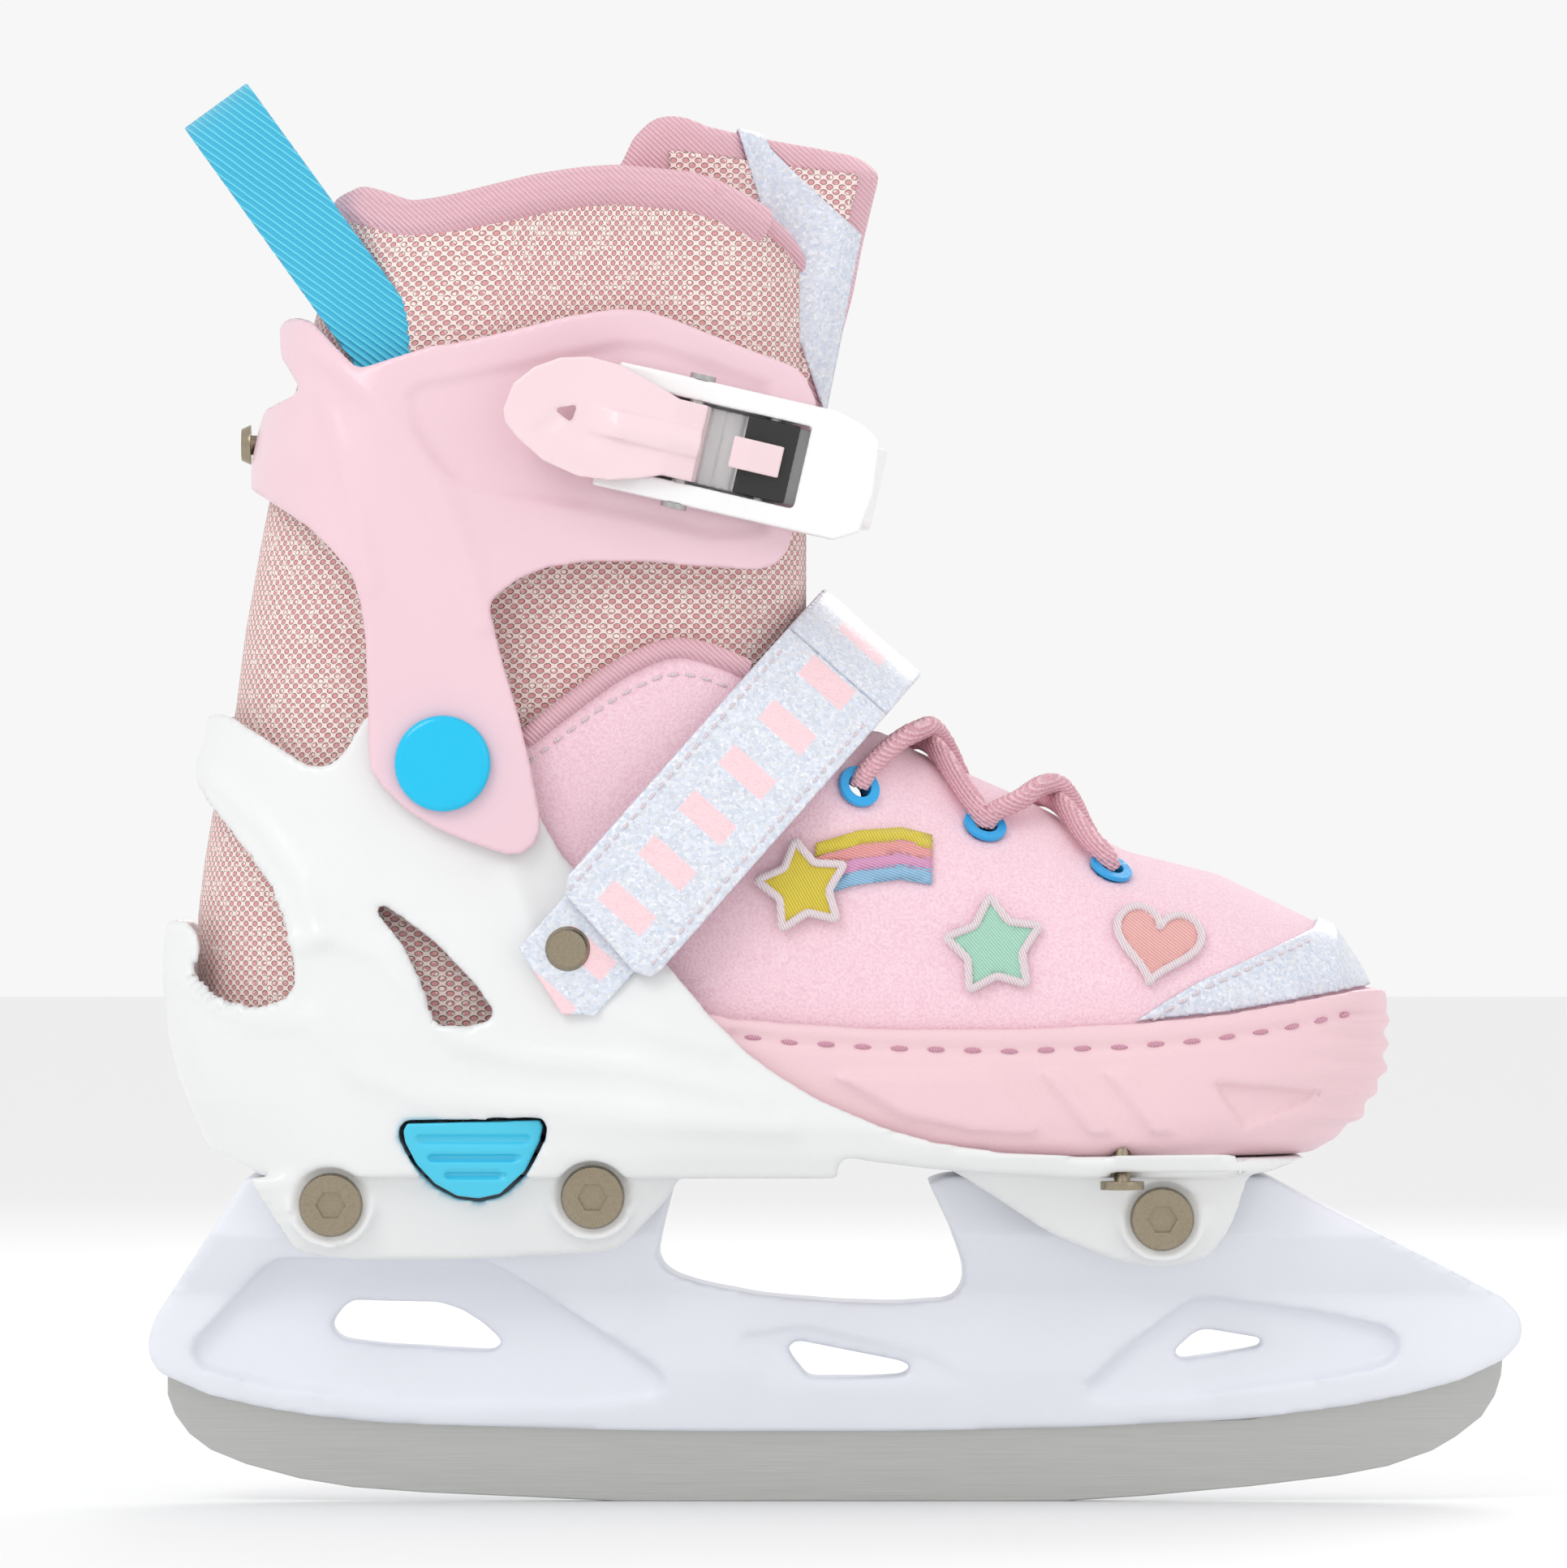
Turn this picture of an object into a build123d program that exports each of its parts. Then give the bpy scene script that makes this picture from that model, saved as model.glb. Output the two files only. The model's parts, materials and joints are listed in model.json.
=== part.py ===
from build123d import *
from math import cos, radians, sin, sqrt
import os

# Child's size-adjustable ice skate, right foot. Millimetres.
# +X points to the toe, +Z up, -Y is the outer (buckle) side of the foot.
# The origin is the middle of the blade's flat running edge.

# ---- driving dimensions -------------------------------------------------
BLADE_THICK = 3.0
SHELL_WALL = 2.6
SHELL_FLARE_X = -34.0
SOLE_HALF = 40.0
SOLE_STRAIGHT_END = 58.0
SOLE_TOE = 49.2
SIZE_TRAVEL = 20.0
FLOOR_TOP = 67.4
TOWER_HALF = 18.2
SKIRT_WALL = 3.0
BOLT_XZ = [(-96.9, 58.2), (-46.7, 59.7), (62.5, 55.5)]
BOLT_HEAD_R = 6.2
BOLT_SHANK_R = 3.0
SLEEVE_R = 4.0
RUN_FIT = 0.02
BOSS_FACE = 28.2
PIVOT = (-75.1, 142.8)
PIVOT_R = 4.0
PIVOT_GAP = 0.05
CAP_R = 9.2
EAR_FACE = 36.5
CUFF_IN = 37.2
CUFF_OUT = 40.2
BUCKLE_O = (-28.2, 204.0)
TILT = radians(13.0)
STRAP_O = (5.6, 166.6)
TURN = radians(48.5)
STRAP_HALF = 12.6
RIVET_PLACE = (-3.4, -81.9)
RIBBON_WIDTH = 15.0
EYELET_X = (4.1, 28.4, 52.6)
LACE_R = 2.1
BIG = 150.0

os.makedirs("parts", exist_ok=True)


def save(part, label):
    part.label = label
    export_step(part, f"parts/{label}.step")


def outline(points):
    """Closed outline through corner points, as a face of the open sketch."""
    with BuildLine() as line:
        Polyline(*points, close=True)
    make_face(line.edges())


def side_cut(points, mode=Mode.INTERSECT, amount=BIG):
    """Extrude a side-view outline to both sides of the open part's middle plane."""
    with BuildSketch(Plane.XZ) as region:
        outline(points)
    extrude(region.sketch, amount=amount, both=True, mode=mode)


def u_outline(x_back, radius, x_flare, flare_half, x_front, front_half):
    """Plan outline: round heel, flanks that flare towards a square front."""
    xc = x_back + radius
    with BuildLine() as line:
        ThreePointArc((xc, radius), (x_back, 0), (xc, -radius))
        Polyline(
            (xc, -radius),
            (x_flare, -flare_half),
            (x_front, -front_half),
            (x_front, front_half),
            (x_flare, flare_half),
            (xc, radius),
        )
    make_face(line.edges())


def shaft_outline(x_back, x_front, half, corner):
    """Plan outline: round back and rounded front corners, as a boot shaft."""
    xc = x_back + half
    xf = x_front - corner
    d = corner * (1 - sqrt(0.5))
    with BuildLine() as line:
        ThreePointArc((xc, half), (x_back, 0), (xc, -half))
        Line((xc, -half), (xf, -half))
        ThreePointArc((xf, -half), (x_front - d, -half + d), (x_front, -half + corner))
        Line((x_front, -half + corner), (x_front, half - corner))
        ThreePointArc((x_front, half - corner), (x_front - d, half - d), (xf, half))
        Line((xf, half), (xc, half))
    make_face(line.edges())


def toe_outline(x_back, half, x_front, taper=0.0):
    """Plan outline: tapering tail, straight sides and a half-ellipse toe."""
    reach = x_front - SOLE_STRAIGHT_END
    with BuildLine() as line:
        Polyline(
            (SOLE_STRAIGHT_END, half),
            (SHELL_FLARE_X + 2, half),
            (x_back, half - taper),
            (x_back, taper - half),
            (SHELL_FLARE_X + 2, -half),
            (SOLE_STRAIGHT_END, -half),
        )
        EllipticalCenterArc((SOLE_STRAIGHT_END, 0), reach, half, start_angle=-90, arc_size=180)
    make_face(line.edges())


def strap_place(a, n):
    """Side-view position of a point a across and n along the instep strap."""
    return (STRAP_O[0] + a * sin(TURN) + n * cos(TURN), STRAP_O[1] - a * cos(TURN) + n * sin(TURN))


# =========================================================================
# Blade and its holder
# =========================================================================
HOLDER_BOTTOM = [
    (-129.4, 24.5), (-121.1, 20.7), (-110.7, 18.3), (-100.4, 16.6), (-86.5, 15.2),
    (-51.9, 14.1), (-26.4, 13.6), (8.8, 13.6), (46.4, 14.4), (80.4, 16.1),
    (100.2, 18.8), (110.1, 20.8), (120.1, 23.4), (129.2, 27.7),
]
BLADE_BOTTOM = [
    (128.9, 24.4), (127.7, 20.5), (125.1, 16.4), (120.1, 12.5), (115.5, 9.8),
    (106.9, 6.8), (97.0, 4.9), (80.4, 2.9), (60.5, 1.1), (44.0, 0), (-42.0, 0),
    (-58.8, 0.8), (-79.6, 1.7), (-93.4, 2.7), (-103.8, 4.4), (-114.2, 7.2),
    (-121.1, 10.0), (-125.2, 13.1), (-128.0, 16.9), (-129.4, 20.7),
]
TANG_TOP = [(-118, 27), (-90, 23), (-52, 22), (46, 22), (90, 24), (112, 29)]

with BuildPart() as blade:
    side_cut(HOLDER_BOTTOM + BLADE_BOTTOM, Mode.ADD, BLADE_THICK / 2)
    side_cut([(-118, 18)] + TANG_TOP + [(112, 20), (46, 12), (-52, 12)], Mode.ADD, BLADE_THICK / 2)
save(blade.part, "blade")

HOLDER_SIDE = HOLDER_BOTTOM + [
    (132.0, 30.7), (132.9, 33.6), (131.7, 37.0), (128.7, 40.0), (106.0, 51.8),
    (83.0, 63.4), (22.0, 63.4), (17.7, 62.4),
    (21.7, 54.0), (24.3, 46.7), (24.7, 43.3), (23.7, 40.8), (21.7, 39.3),
    (11.5, 38.7), (0.3, 39.0), (-13.7, 40.2), (-25.0, 42.3), (-30.7, 44.0),
    (-33.5, 45.9), (-34.2, 48.4), (-32.9, 54.6), (-30.6, 63.4),
    (-113.4, 63.4), (-131.5, 36.0), (-132.9, 31.8), (-132.8, 28.4), (-130.8, 25.2),
]
REAR_HOLE = [
    (-97.3, 33.0), (-97.3, 34.9), (-95.1, 38.0), (-93.4, 39.1), (-76.8, 38.7),
    (-72.6, 37.4), (-68.5, 34.9), (-65.0, 31.8), (-63.8, 29.8), (-65.7, 29.3),
    (-86.5, 30.5), (-94.8, 31.5),
]
REAR_POCKET = [
    (-107.3, 47.7), (-67.5, 47.3), (-61.6, 43.9), (-35.3, 26.6), (-33.2, 24.2),
    (-33.4, 21.7), (-36.0, 20.0), (-51.9, 18.6), (-79.6, 18.6), (-107.3, 22.1),
    (-122.5, 26.2), (-124.2, 28.3), (-123.9, 31.1), (-110.8, 45.6),
]
MID_HOLE = [
    (-9.5, 29.5), (-8.7, 30.9), (-7.0, 31.3), (12.2, 27.5), (14.4, 26.7),
    (14.9, 25.3), (13.9, 24.6), (6.5, 24.2), (-5.3, 24.2),
]
MID_POCKET = [(-19.5, 32.6), (-6.0, 34.6), (18.0, 29.0), (31.0, 20.6), (10.0, 19.4), (-10.9, 19.2)]
FRONT_HOLE = [
    (65.1, 29.0), (65.5, 28.1), (67.1, 27.7), (83.0, 30.1), (83.5, 30.8),
    (82.7, 31.7), (71.8, 33.5), (70.4, 33.3), (69.1, 32.7),
]
FRONT_POCKET = [
    (48.3, 23.1), (48.9, 20.2), (52.6, 19.2), (67.1, 20.2), (93.6, 24.1),
    (105.6, 26.4), (108.5, 28.4), (108.9, 31.7), (106.2, 34.3), (93.6, 37.0),
    (73.7, 39.7), (69.8, 39.7), (66.4, 38.0), (57.2, 31.0),
]
HOLDER_END = [(-4.6, 12), (-8.6, 26), (-9.5, 40), (-TOWER_HALF, 52), (-TOWER_HALF, 64)]

with BuildPart() as blade_holder:
    side_cut(HOLDER_SIDE, Mode.ADD, 20)
    with BuildSketch(Plane.YZ):
        outline(HOLDER_END + [(-y, z) for y, z in reversed(HOLDER_END)])
    extrude(amount=BIG, both=True, mode=Mode.INTERSECT)
    for hole in (REAR_HOLE, MID_HOLE, FRONT_HOLE):
        side_cut(hole, Mode.SUBTRACT, 20)
    for pocket, depth in ((REAR_POCKET, 5.6), (MID_POCKET, 7.6), (FRONT_POCKET, 5.6)):
        for side in (-1, 1):
            with BuildSketch(Plane.XZ.offset(-side * depth)):
                outline(pocket)
            extrude(amount=-side * 12, mode=Mode.SUBTRACT)
    with Locations([Plane(origin=(x, 0, z), z_dir=(0, 1, 0)) for x, z in BOLT_XZ]):
        Cylinder(SLEEVE_R + 0.05, 60, mode=Mode.SUBTRACT)
    side_cut([(-140, 0), (-140, 25.4), (-129.6, 24.6)] + TANG_TOP
             + [(129.3, 27.8), (140, 28), (140, 0)], Mode.SUBTRACT, BLADE_THICK / 2 + RUN_FIT)
save(blade_holder.part, "blade_holder")

with BuildPart() as holder_bolts:
    for x, z in BOLT_XZ:
        with BuildSketch(Plane.XZ.offset(BOSS_FACE - 1.2)):
            with Locations((x, z)):
                Circle(BOLT_HEAD_R)
        extrude(amount=2.2, taper=12)
        with BuildSketch(Plane.XZ.offset(BOSS_FACE - 1.2)):
            with Locations((x, z)):
                Circle(BOLT_SHANK_R - RUN_FIT)
        extrude(amount=-44)
        with BuildSketch(Plane.XZ.offset(BOSS_FACE + 1.0)):
            with Locations((x, z)):
                RegularPolygon(2.5, 6, major_radius=False)
        extrude(amount=-1.8, mode=Mode.SUBTRACT)
save(holder_bolts.part, "holder_bolts")

with BuildPart() as sleeve_nuts:
    for x, z in BOLT_XZ:
        with BuildSketch(Plane.XZ.offset(-(BOSS_FACE - 1.2))):
            with Locations((x, z)):
                Circle(BOLT_HEAD_R)
        extrude(amount=-2.0, taper=12)
        with BuildSketch(Plane.XZ.offset(-(BOSS_FACE - 1.2))):
            with Locations((x, z)):
                Circle(SLEEVE_R)
        extrude(amount=40)
        with BuildSketch(Plane.XZ.offset(-(BOSS_FACE + 0.6))):
            with Locations((x, z)):
                Circle(BOLT_SHANK_R)
        extrude(amount=60, mode=Mode.SUBTRACT)
save(sleeve_nuts.part, "sleeve_nuts")

# =========================================================================
# Shell: heel cup, ankle ears, sole plate, holder flanges
# =========================================================================

# height, rearmost x, heel radius, forefoot half-width
SHELL_LEVELS = [
    (62.0, -119.0, 33.0, 37.5),
    (68.0, -121.5, 34.0, 41.2),
    (73.5, -124.1, 34.6, 43.4),
    (78.0, -126.2, 35.0, 43.4),
    (92.0, -130.0, 36.0, 43.2),
    (101.0, -130.7, 36.3, 42.5),
    (112.0, -130.5, EAR_FACE, 40.0),
    (122.0, -127.0, EAR_FACE, EAR_FACE),
    (145.0, -124.2, EAR_FACE, EAR_FACE),
    (158.0, -121.0, EAR_FACE, EAR_FACE),
]
SHELL_SIDE = [
    (-121.3, 152.1), (-119.5, 152.7), (-116.5, 152.1), (-111.2, 148.8), (-105.3, 145.2),
    (-101.8, 142.8), (-99.3, 142.3), (-96.4, 142.8), (-94.0, 144.9), (-92.2, 148.2),
    (-90.0, 151.5), (-84.0, 157.0), (-75.0, 158.5), (-66.0, 156.0), (-61.0, 148.0),
    (-58.5, 136.0), (-52.5, 125.4), (-43.0, 115.4), (-32.6, 104.9), (-24.4, 95.2),
    (-17.0, 87.7), (-11.9, 83.9), (-3.6, 78.8), (8.8, 73.5), (18.4, 70.7),
    (31.3, 68.7), (46.4, 67.9), (91.1, 68.6), (90.3, 67.1), (87.0, 65.8), (83.0, 64.7),
    (73.7, 63.5), (50.6, 63.5), (34.0, 64.3), (17.7, 65.4), (0.3, 67.7), (0.3, 63.5),
    (-110, 63.5), (-116.4, 67.0), (-120.7, 68.1), (-121.8, 69.5), (-124.5, 76.1),
    (-127.8, 83.2), (-129.3, 91.5), (-130.2, 101.1), (-130.1, 106.3), (-129.1, 112.3),
    (-127.8, 113.0), (-125.2, 112.6), (-123.4, 111.1), (-122.2, 108.7), (-122.2, 106.3),
    (-123.7, 103.1), (-122.5, 101.1), (-120.1, 98.3), (-115.9, 96.3), (-111.2, 95.7),
    (-106.5, 96.6), (-104.1, 98.6), (-103.2, 102.2), (-103.5, 106.3), (-105.3, 112.9),
    (-108.3, 120.0), (-112.5, 125.9), (-117.1, 131.3), (-120.7, 135.5), (-122.8, 137.8),
    (-123.7, 140.7), (-123.7, 143.1), (-122.2, 146.7),
]
OPENING_TRI = [
    (-90.8, 118.3), (-88.1, 116.7), (-81.5, 112.3), (-76.8, 108.7), (-72.1, 104.0),
    (-68.5, 99.8), (-65.5, 95.7), (-65.8, 94.2), (-67.3, 93.3), (-75.0, 92.4),
    (-76.5, 93.0), (-78.0, 95.7), (-79.8, 102.2), (-82.7, 108.2), (-87.5, 114.1),
]
REAR_FLANGE = [
    (-117.0, 68.4), (-114.2, 65.7), (-108.6, 56.7), (-105.2, 51.2), (-103.8, 49.4),
    (-101.0, 48.5), (-93.4, 47.5), (-72.6, 47.5), (-58.8, 48.1), (-45.0, 48.9),
    (-41.5, 49.8), (-38.8, 52.2), (-34.6, 56.7), (-31.9, 60.1), (-30.5, 62.9),
    (-23.9, 67.9), (-23.9, 69.0), (-117.0, 69.0),
]
FRONT_BOSS = [
    (22.2, 64.9), (31.3, 59.1), (40.6, 52.9), (47.3, 49.9), (53.9, 47.4),
    (60.5, 46.0), (65.8, 46.3), (71.1, 47.9), (74.4, 51.5), (76.7, 56.2),
    (78.4, 62.2), (78.9, 64.0), (22.2, 65.4),
]
BUTTON_SIDE = [
    (-82.0, 74.0), (-56.7, 74.7), (-56.0, 73.6), (-56.7, 70.5), (-59.5, 65.0),
    (-64.4, 60.5), (-68.5, 59.6), (-72.6, 60.1), (-76.8, 62.5), (-80.3, 66.3),
    (-82.4, 70.5), (-82.7, 72.6),
]
BUTTON_MID = (-69.3, 68.0)
BUTTON_POCKET = [
    (BUTTON_MID[0] + 1.07 * (x - BUTTON_MID[0]), BUTTON_MID[1] + 1.09 * (z - BUTTON_MID[1]))
    for x, z in BUTTON_SIDE
]


def shell_loft(inset, mode):
    sections = []
    for z, xb, r, w in SHELL_LEVELS:
        with BuildSketch(Plane.XY.offset(z)) as section:
            u_outline(xb + inset, r - inset, SHELL_FLARE_X, w - inset * 1.08, 110, w - inset * 1.08)
        sections.append(section.sketch)
    loft(sections, ruled=True, mode=mode)


def flange_loft(x0, x1, y_top, y_low, z_top, z_low, mode):
    sections = []
    for z, inset, half in ((z_low, 6, y_low), (z_top, 0, y_top)):
        with BuildSketch(Plane.XY.offset(z)) as section:
            with Locations(((x0 + x1) / 2, 0)):
                RectangleRounded(x1 - x0 - 2 * inset, 2 * half, 6)
        sections.append(section.sketch)
    loft(sections, ruled=True, mode=mode)


# floor of the foot space: everything above this plane is hollow
with BuildPart() as shell_space:
    shell_loft(SHELL_WALL, Mode.ADD)
    side_cut([(-140, FLOOR_TOP), (-140, 170), (120, 170), (120, FLOOR_TOP)])

with BuildPart() as rear_flange:
    flange_loft(-124, -18, 31.5, 22.0, 69, 47, Mode.ADD)
    flange_loft(-128, -14, 28.5, 18.3, 69, 47, Mode.SUBTRACT)
    side_cut(REAR_FLANGE)
    side_cut([(-130, 63.5), (-130, 80), (0, 80), (0, 67.5), (-30, 63.5)], Mode.SUBTRACT)

with BuildPart() as front_boss:
    flange_loft(12, 90, 31.5, 22.0, 66, 45, Mode.ADD)
    flange_loft(8, 94, 28.5, 18.3, 66, 45, Mode.SUBTRACT)
    side_cut(FRONT_BOSS)

with BuildPart() as shell:
    shell_loft(0, Mode.ADD)
    side_cut(SHELL_SIDE)
    # the sole plate is rounded off under the toe
    with BuildSketch(Plane.XY.offset(60)):
        toe_outline(-140, 46, 93.0)
    extrude(amount=110, mode=Mode.INTERSECT)
    add(shell_space.part, mode=Mode.SUBTRACT)
    side_cut(OPENING_TRI, Mode.SUBTRACT)
    add(rear_flange.part)
    add(front_boss.part)
    for x, z in BOLT_XZ:
        for side in (-1, 1):
            with BuildSketch(Plane.XZ.offset(-side * (TOWER_HALF + 0.1))):
                with Locations((x, z)):
                    Circle(8.4)
            extrude(amount=-side * (BOSS_FACE - TOWER_HALF - 0.1))
            with BuildSketch(Plane.XZ.offset(-side * (BOSS_FACE - 1.2))):
                with Locations((x, z)):
                    Circle(7.3)
            extrude(amount=-side * 30, mode=Mode.SUBTRACT)
        with Locations(Plane(origin=(x, 0, z), z_dir=(0, 1, 0))):
            Cylinder(SLEEVE_R + 0.05, 80, mode=Mode.SUBTRACT)
    # the bolt bosses end under the floor
    add(shell_space.part, mode=Mode.SUBTRACT)
    # pocket that guides the size button, and the room behind it
    with BuildSketch(Plane.XZ.offset(18.4)):
        outline(BUTTON_POCKET)
    extrude(amount=40, mode=Mode.SUBTRACT)
    # rivet holes for the instep strap's anchors
    rivet_x, rivet_z = strap_place(*RIVET_PLACE)
    with Locations(Plane(origin=(rivet_x, 0, rivet_z), z_dir=(0, 1, 0))):
        Cylinder(2.0, 120, mode=Mode.SUBTRACT)
    # pivot holes in the ankle ears and slots for the guide screws
    with Locations(Plane(origin=(PIVOT[0], 0, PIVOT[1]), z_dir=(0, 1, 0))):
        Cylinder(PIVOT_R, 100, mode=Mode.SUBTRACT)
    with BuildSketch(Plane.XY.offset(60)):
        with Locations((54.6 + SIZE_TRAVEL / 2, -36), (54.6 + SIZE_TRAVEL / 2, 36)):
            SlotOverall(SIZE_TRAVEL + 6, 5)
    extrude(amount=12, mode=Mode.SUBTRACT)
save(shell.part, "shell")

with BuildPart() as pivot_rivets:
    for side in (-1, 1):
        with BuildSketch(Plane.XZ.offset(-side * (EAR_FACE - SHELL_WALL - 1.2))):
            with Locations(PIVOT):
                Circle(7.0)
        extrude(amount=-side * 1.1)
        with BuildSketch(Plane.XZ.offset(-side * (EAR_FACE - SHELL_WALL - 0.1))):
            with Locations(PIVOT):
                Circle(PIVOT_R)
        extrude(amount=-side * 6.6)
save(pivot_rivets.part, "pivot_rivets")

with BuildPart() as pivot_caps:
    for side in (-1, 1):
        with BuildSketch(Plane.XZ.offset(-side * (CUFF_OUT + 0.3))):
            with Locations(PIVOT):
                Circle(CAP_R)
        extrude(amount=-side * 2.3)
    fillet(pivot_caps.faces().filter_by(Axis.Y).group_by(Axis.Y)[0].edges(), 1.2)
    fillet(pivot_caps.faces().filter_by(Axis.Y).group_by(Axis.Y)[-1].edges(), 1.2)
save(pivot_caps.part, "pivot_caps")

with BuildPart() as pivot_washers:
    for side in (-1, 1):
        with BuildSketch(Plane.XZ.offset(-side * EAR_FACE)):
            with Locations(PIVOT):
                Circle(9.0)
                Circle(PIVOT_R + 0.05, mode=Mode.SUBTRACT)
        extrude(amount=-side * 0.6)
save(pivot_washers.part, "pivot_washers")

# =========================================================================
# Size button with its latch arm, and its spring
# =========================================================================
BUTTON_TOP_Y = 38.2
BUTTON_LOW_Y = 31.4
with BuildPart() as size_button:
    with BuildSketch(Plane.XZ.offset(24.6)):
        outline(BUTTON_SIDE)
    extrude(amount=30)
    with BuildSketch(Plane.YZ):
        outline([(-20, 76), (-BUTTON_TOP_Y, 76), (-BUTTON_LOW_Y, 59), (-20, 59)])
    extrude(amount=BIG, both=True, mode=Mode.INTERSECT)
    for z, x0, x1 in ((71.2, -80.3, -58.5), (67.4, -78.2, -60.2), (63.9, -75.1, -63.0)):
        face_y = BUTTON_LOW_Y + (z - 59) / 17 * (BUTTON_TOP_Y - BUTTON_LOW_Y)
        with BuildSketch(Plane.XZ.offset(face_y - 0.7)):
            with Locations(((x0 + x1) / 2, z)):
                SlotOverall(x1 - x0, 1.4)
        extrude(amount=6, mode=Mode.SUBTRACT)
save(size_button.part, "size_button")

with BuildPart() as button_spring:
    with BuildLine() as coil:
        Helix(pitch=0.9, height=1.8, radius=2.0, center=(-69.3, -20.9, 65.5), direction=(0, 1, 0))
    with BuildSketch(Plane(origin=coil.line @ 0, z_dir=coil.line % 0)):
        Circle(0.3)
    sweep(path=coil.line, is_frenet=True)
save(button_spring.part, "button_spring")

# =========================================================================
# Toe unit: sole, vamp, toe cap, eyelets, laces
# =========================================================================
SOLE_LEVELS = [
    (FLOOR_TOP + 0.3, 92.0, 36.5),
    (70.2, 96.5, 38.4),
    (75.0, 102.0, 39.6),
    (83.0, 106.4, SOLE_HALF),
    (101.0, 107.2, SOLE_HALF),
]
SOLE_REAR = -62.0
SOLE_SIDE = [
    (SOLE_REAR, 60), (SOLE_REAR, 90.0), (-45.0, 94.2), (-24.4, 95.2), (-20.2, 94.2),
    (-4.7, 93.0), (10.8, 92.1), (34.0, 92.2), (57.0, 93.2), (74.3, 94.9), (89.5, 97.5),
    (99.6, 99.2), (103.6, 99.7), (106.1, 99.1), (106.7, 98.0), (106.4, 97.0),
    (108.0, 94.9), (108.0, 60),
]
WEDGE = [(-0.4, 82.9), (1.5, 83.5), (28.6, 84.0), (31.7, 82.5), (39.0, 72.7), (37.1, 71.9),
         (26.3, 72.4), (12.3, 75.5)]
BAR_A = [(38.5, 84.1), (43.6, 84.1), (53.4, 71.8), (48.1, 71.8)]
BAR_B = [(50.4, 84.1), (56.0, 84.2), (65.0, 72.0), (60.2, 72.0)]
TOE_TRIANGLE = [(71.3, 82.1), (95.5, 79.8), (77.9, 73.0)]


def sole_loft(inset, mode, x_back=SOLE_REAR - 4):
    sections = []
    for z, xf, w in SOLE_LEVELS:
        with BuildSketch(Plane.XY.offset(z)) as section:
            toe_outline(x_back, w - inset, xf - inset, 5.5)
        sections.append(section.sketch)
    loft(sections, ruled=True, mode=mode)


# raised figures that follow the sole's wall on both sides
with BuildPart() as sole_figures:
    sole_loft(-0.6, Mode.ADD)
    with BuildSketch(Plane.XZ):
        for figure in (WEDGE, BAR_A, BAR_B):
            outline(figure)
    extrude(amount=BIG, both=True, mode=Mode.INTERSECT)

with BuildPart() as sole_room:
    sole_loft(2.4, Mode.ADD, SOLE_REAR - 9)
    side_cut([(-90, 70.4), (-90, 110), (120, 110), (120, 70.4)])

# wall between the recessed triangle's floor and the outer face
with BuildPart() as toe_recess:
    sole_loft(-2, Mode.ADD)
    sole_loft(0.9, Mode.SUBTRACT, SOLE_REAR - 9)
    side_cut(TOE_TRIANGLE)

with BuildPart() as toe_sole:
    sole_loft(0, Mode.ADD)
    add(sole_figures.part)
    side_cut(SOLE_SIDE)
    add(sole_room.part, mode=Mode.SUBTRACT)
    add(toe_recess.part, mode=Mode.SUBTRACT)
    with BuildSketch(Plane.XY.offset(60)):
        with Locations((54.6, -36), (54.6, 36)):
            Circle(1.6)
    extrude(amount=9.6, mode=Mode.SUBTRACT)
    # clearance for the size button's body over its whole travel
    with BuildSketch(Plane.XY.offset(60)):
        with Locations((-75, -38)):
            Rectangle(44, 40)
    extrude(amount=16.5, mode=Mode.SUBTRACT)
save(toe_sole.part, "toe_sole")

# x, bottom half-width, side half-width, height where the side turns in, crown
VAMP_LEVELS = [
    (-62.0, 33.0, 32.2, 170.0, 200.0),
    (-30.0, 35.8, 32.8, 166.0, 194.0),
    (-8.0, 36.8, 33.4, 138.0, 168.0),
    (14.0, 37.2, 35.5, 110.0, 146.0),
    (35.0, 37.3, 36.6, 102.0, 136.8),
    (56.0, 37.3, 36.8, 98.0, 126.0),
    (74.0, 34.6, 34.2, 96.0, 121.5),
    (87.0, 28.8, 28.4, 95.0, 115.2),
    (96.0, 20.9, 20.5, 95.0, 110.8),
    (101.0, 13.2, 12.8, 94.5, 103.2),
    (103.4, 6.4, 6.0, 94.0, 98.2),
]
VAMP_BOTTOM = 88.0
VAMP_WALL = 2.0
VAMP_REGION = [
    (-62, 88), (-62, 149.0), (-59.5, 149.0), (-52.6, 154.4), (-44.3, 160.5), (-38.7, 163.8),
    (-33.2, 166.1), (-29.3, 166.5), (-24.9, 165.5), (-20.4, 163.8), (-17.1, 162.2),
    (-9.0, 152.0), (4.0, 150.0), (12.9, 148.0), (40, 150), (110, 130), (110, 88),
]


def arch(x, low_half, side_half, turn_z, crown_z, inset):
    """Front-view arch: leaning flank, then a quarter ellipse up to the crown."""
    low = low_half - inset
    side = side_half - inset
    floor_z = VAMP_BOTTOM - max(inset, 0.0)
    with BuildSketch(Plane.YZ.offset(x)) as section:
        with BuildLine():
            Polyline((-side, turn_z), (-low, floor_z), (low, floor_z), (side, turn_z))
            EllipticalCenterArc((0, turn_z), side, crown_z - inset - turn_z,
                                start_angle=0, arc_size=180)
        make_face()
    return section.sketch


def vamp_loft(inset, mode, x_back=VAMP_LEVELS[0][0]):
    sections = []
    for x, low, side, turn, crown in VAMP_LEVELS:
        x_in = x - inset * max(0.0, (x - 60.0) / 44.0)
        x_in = x_back if x == VAMP_LEVELS[0][0] else x_in
        sections.append(arch(x_in, low, side, turn, crown, inset))
    loft(sections, ruled=True, mode=mode)


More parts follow.
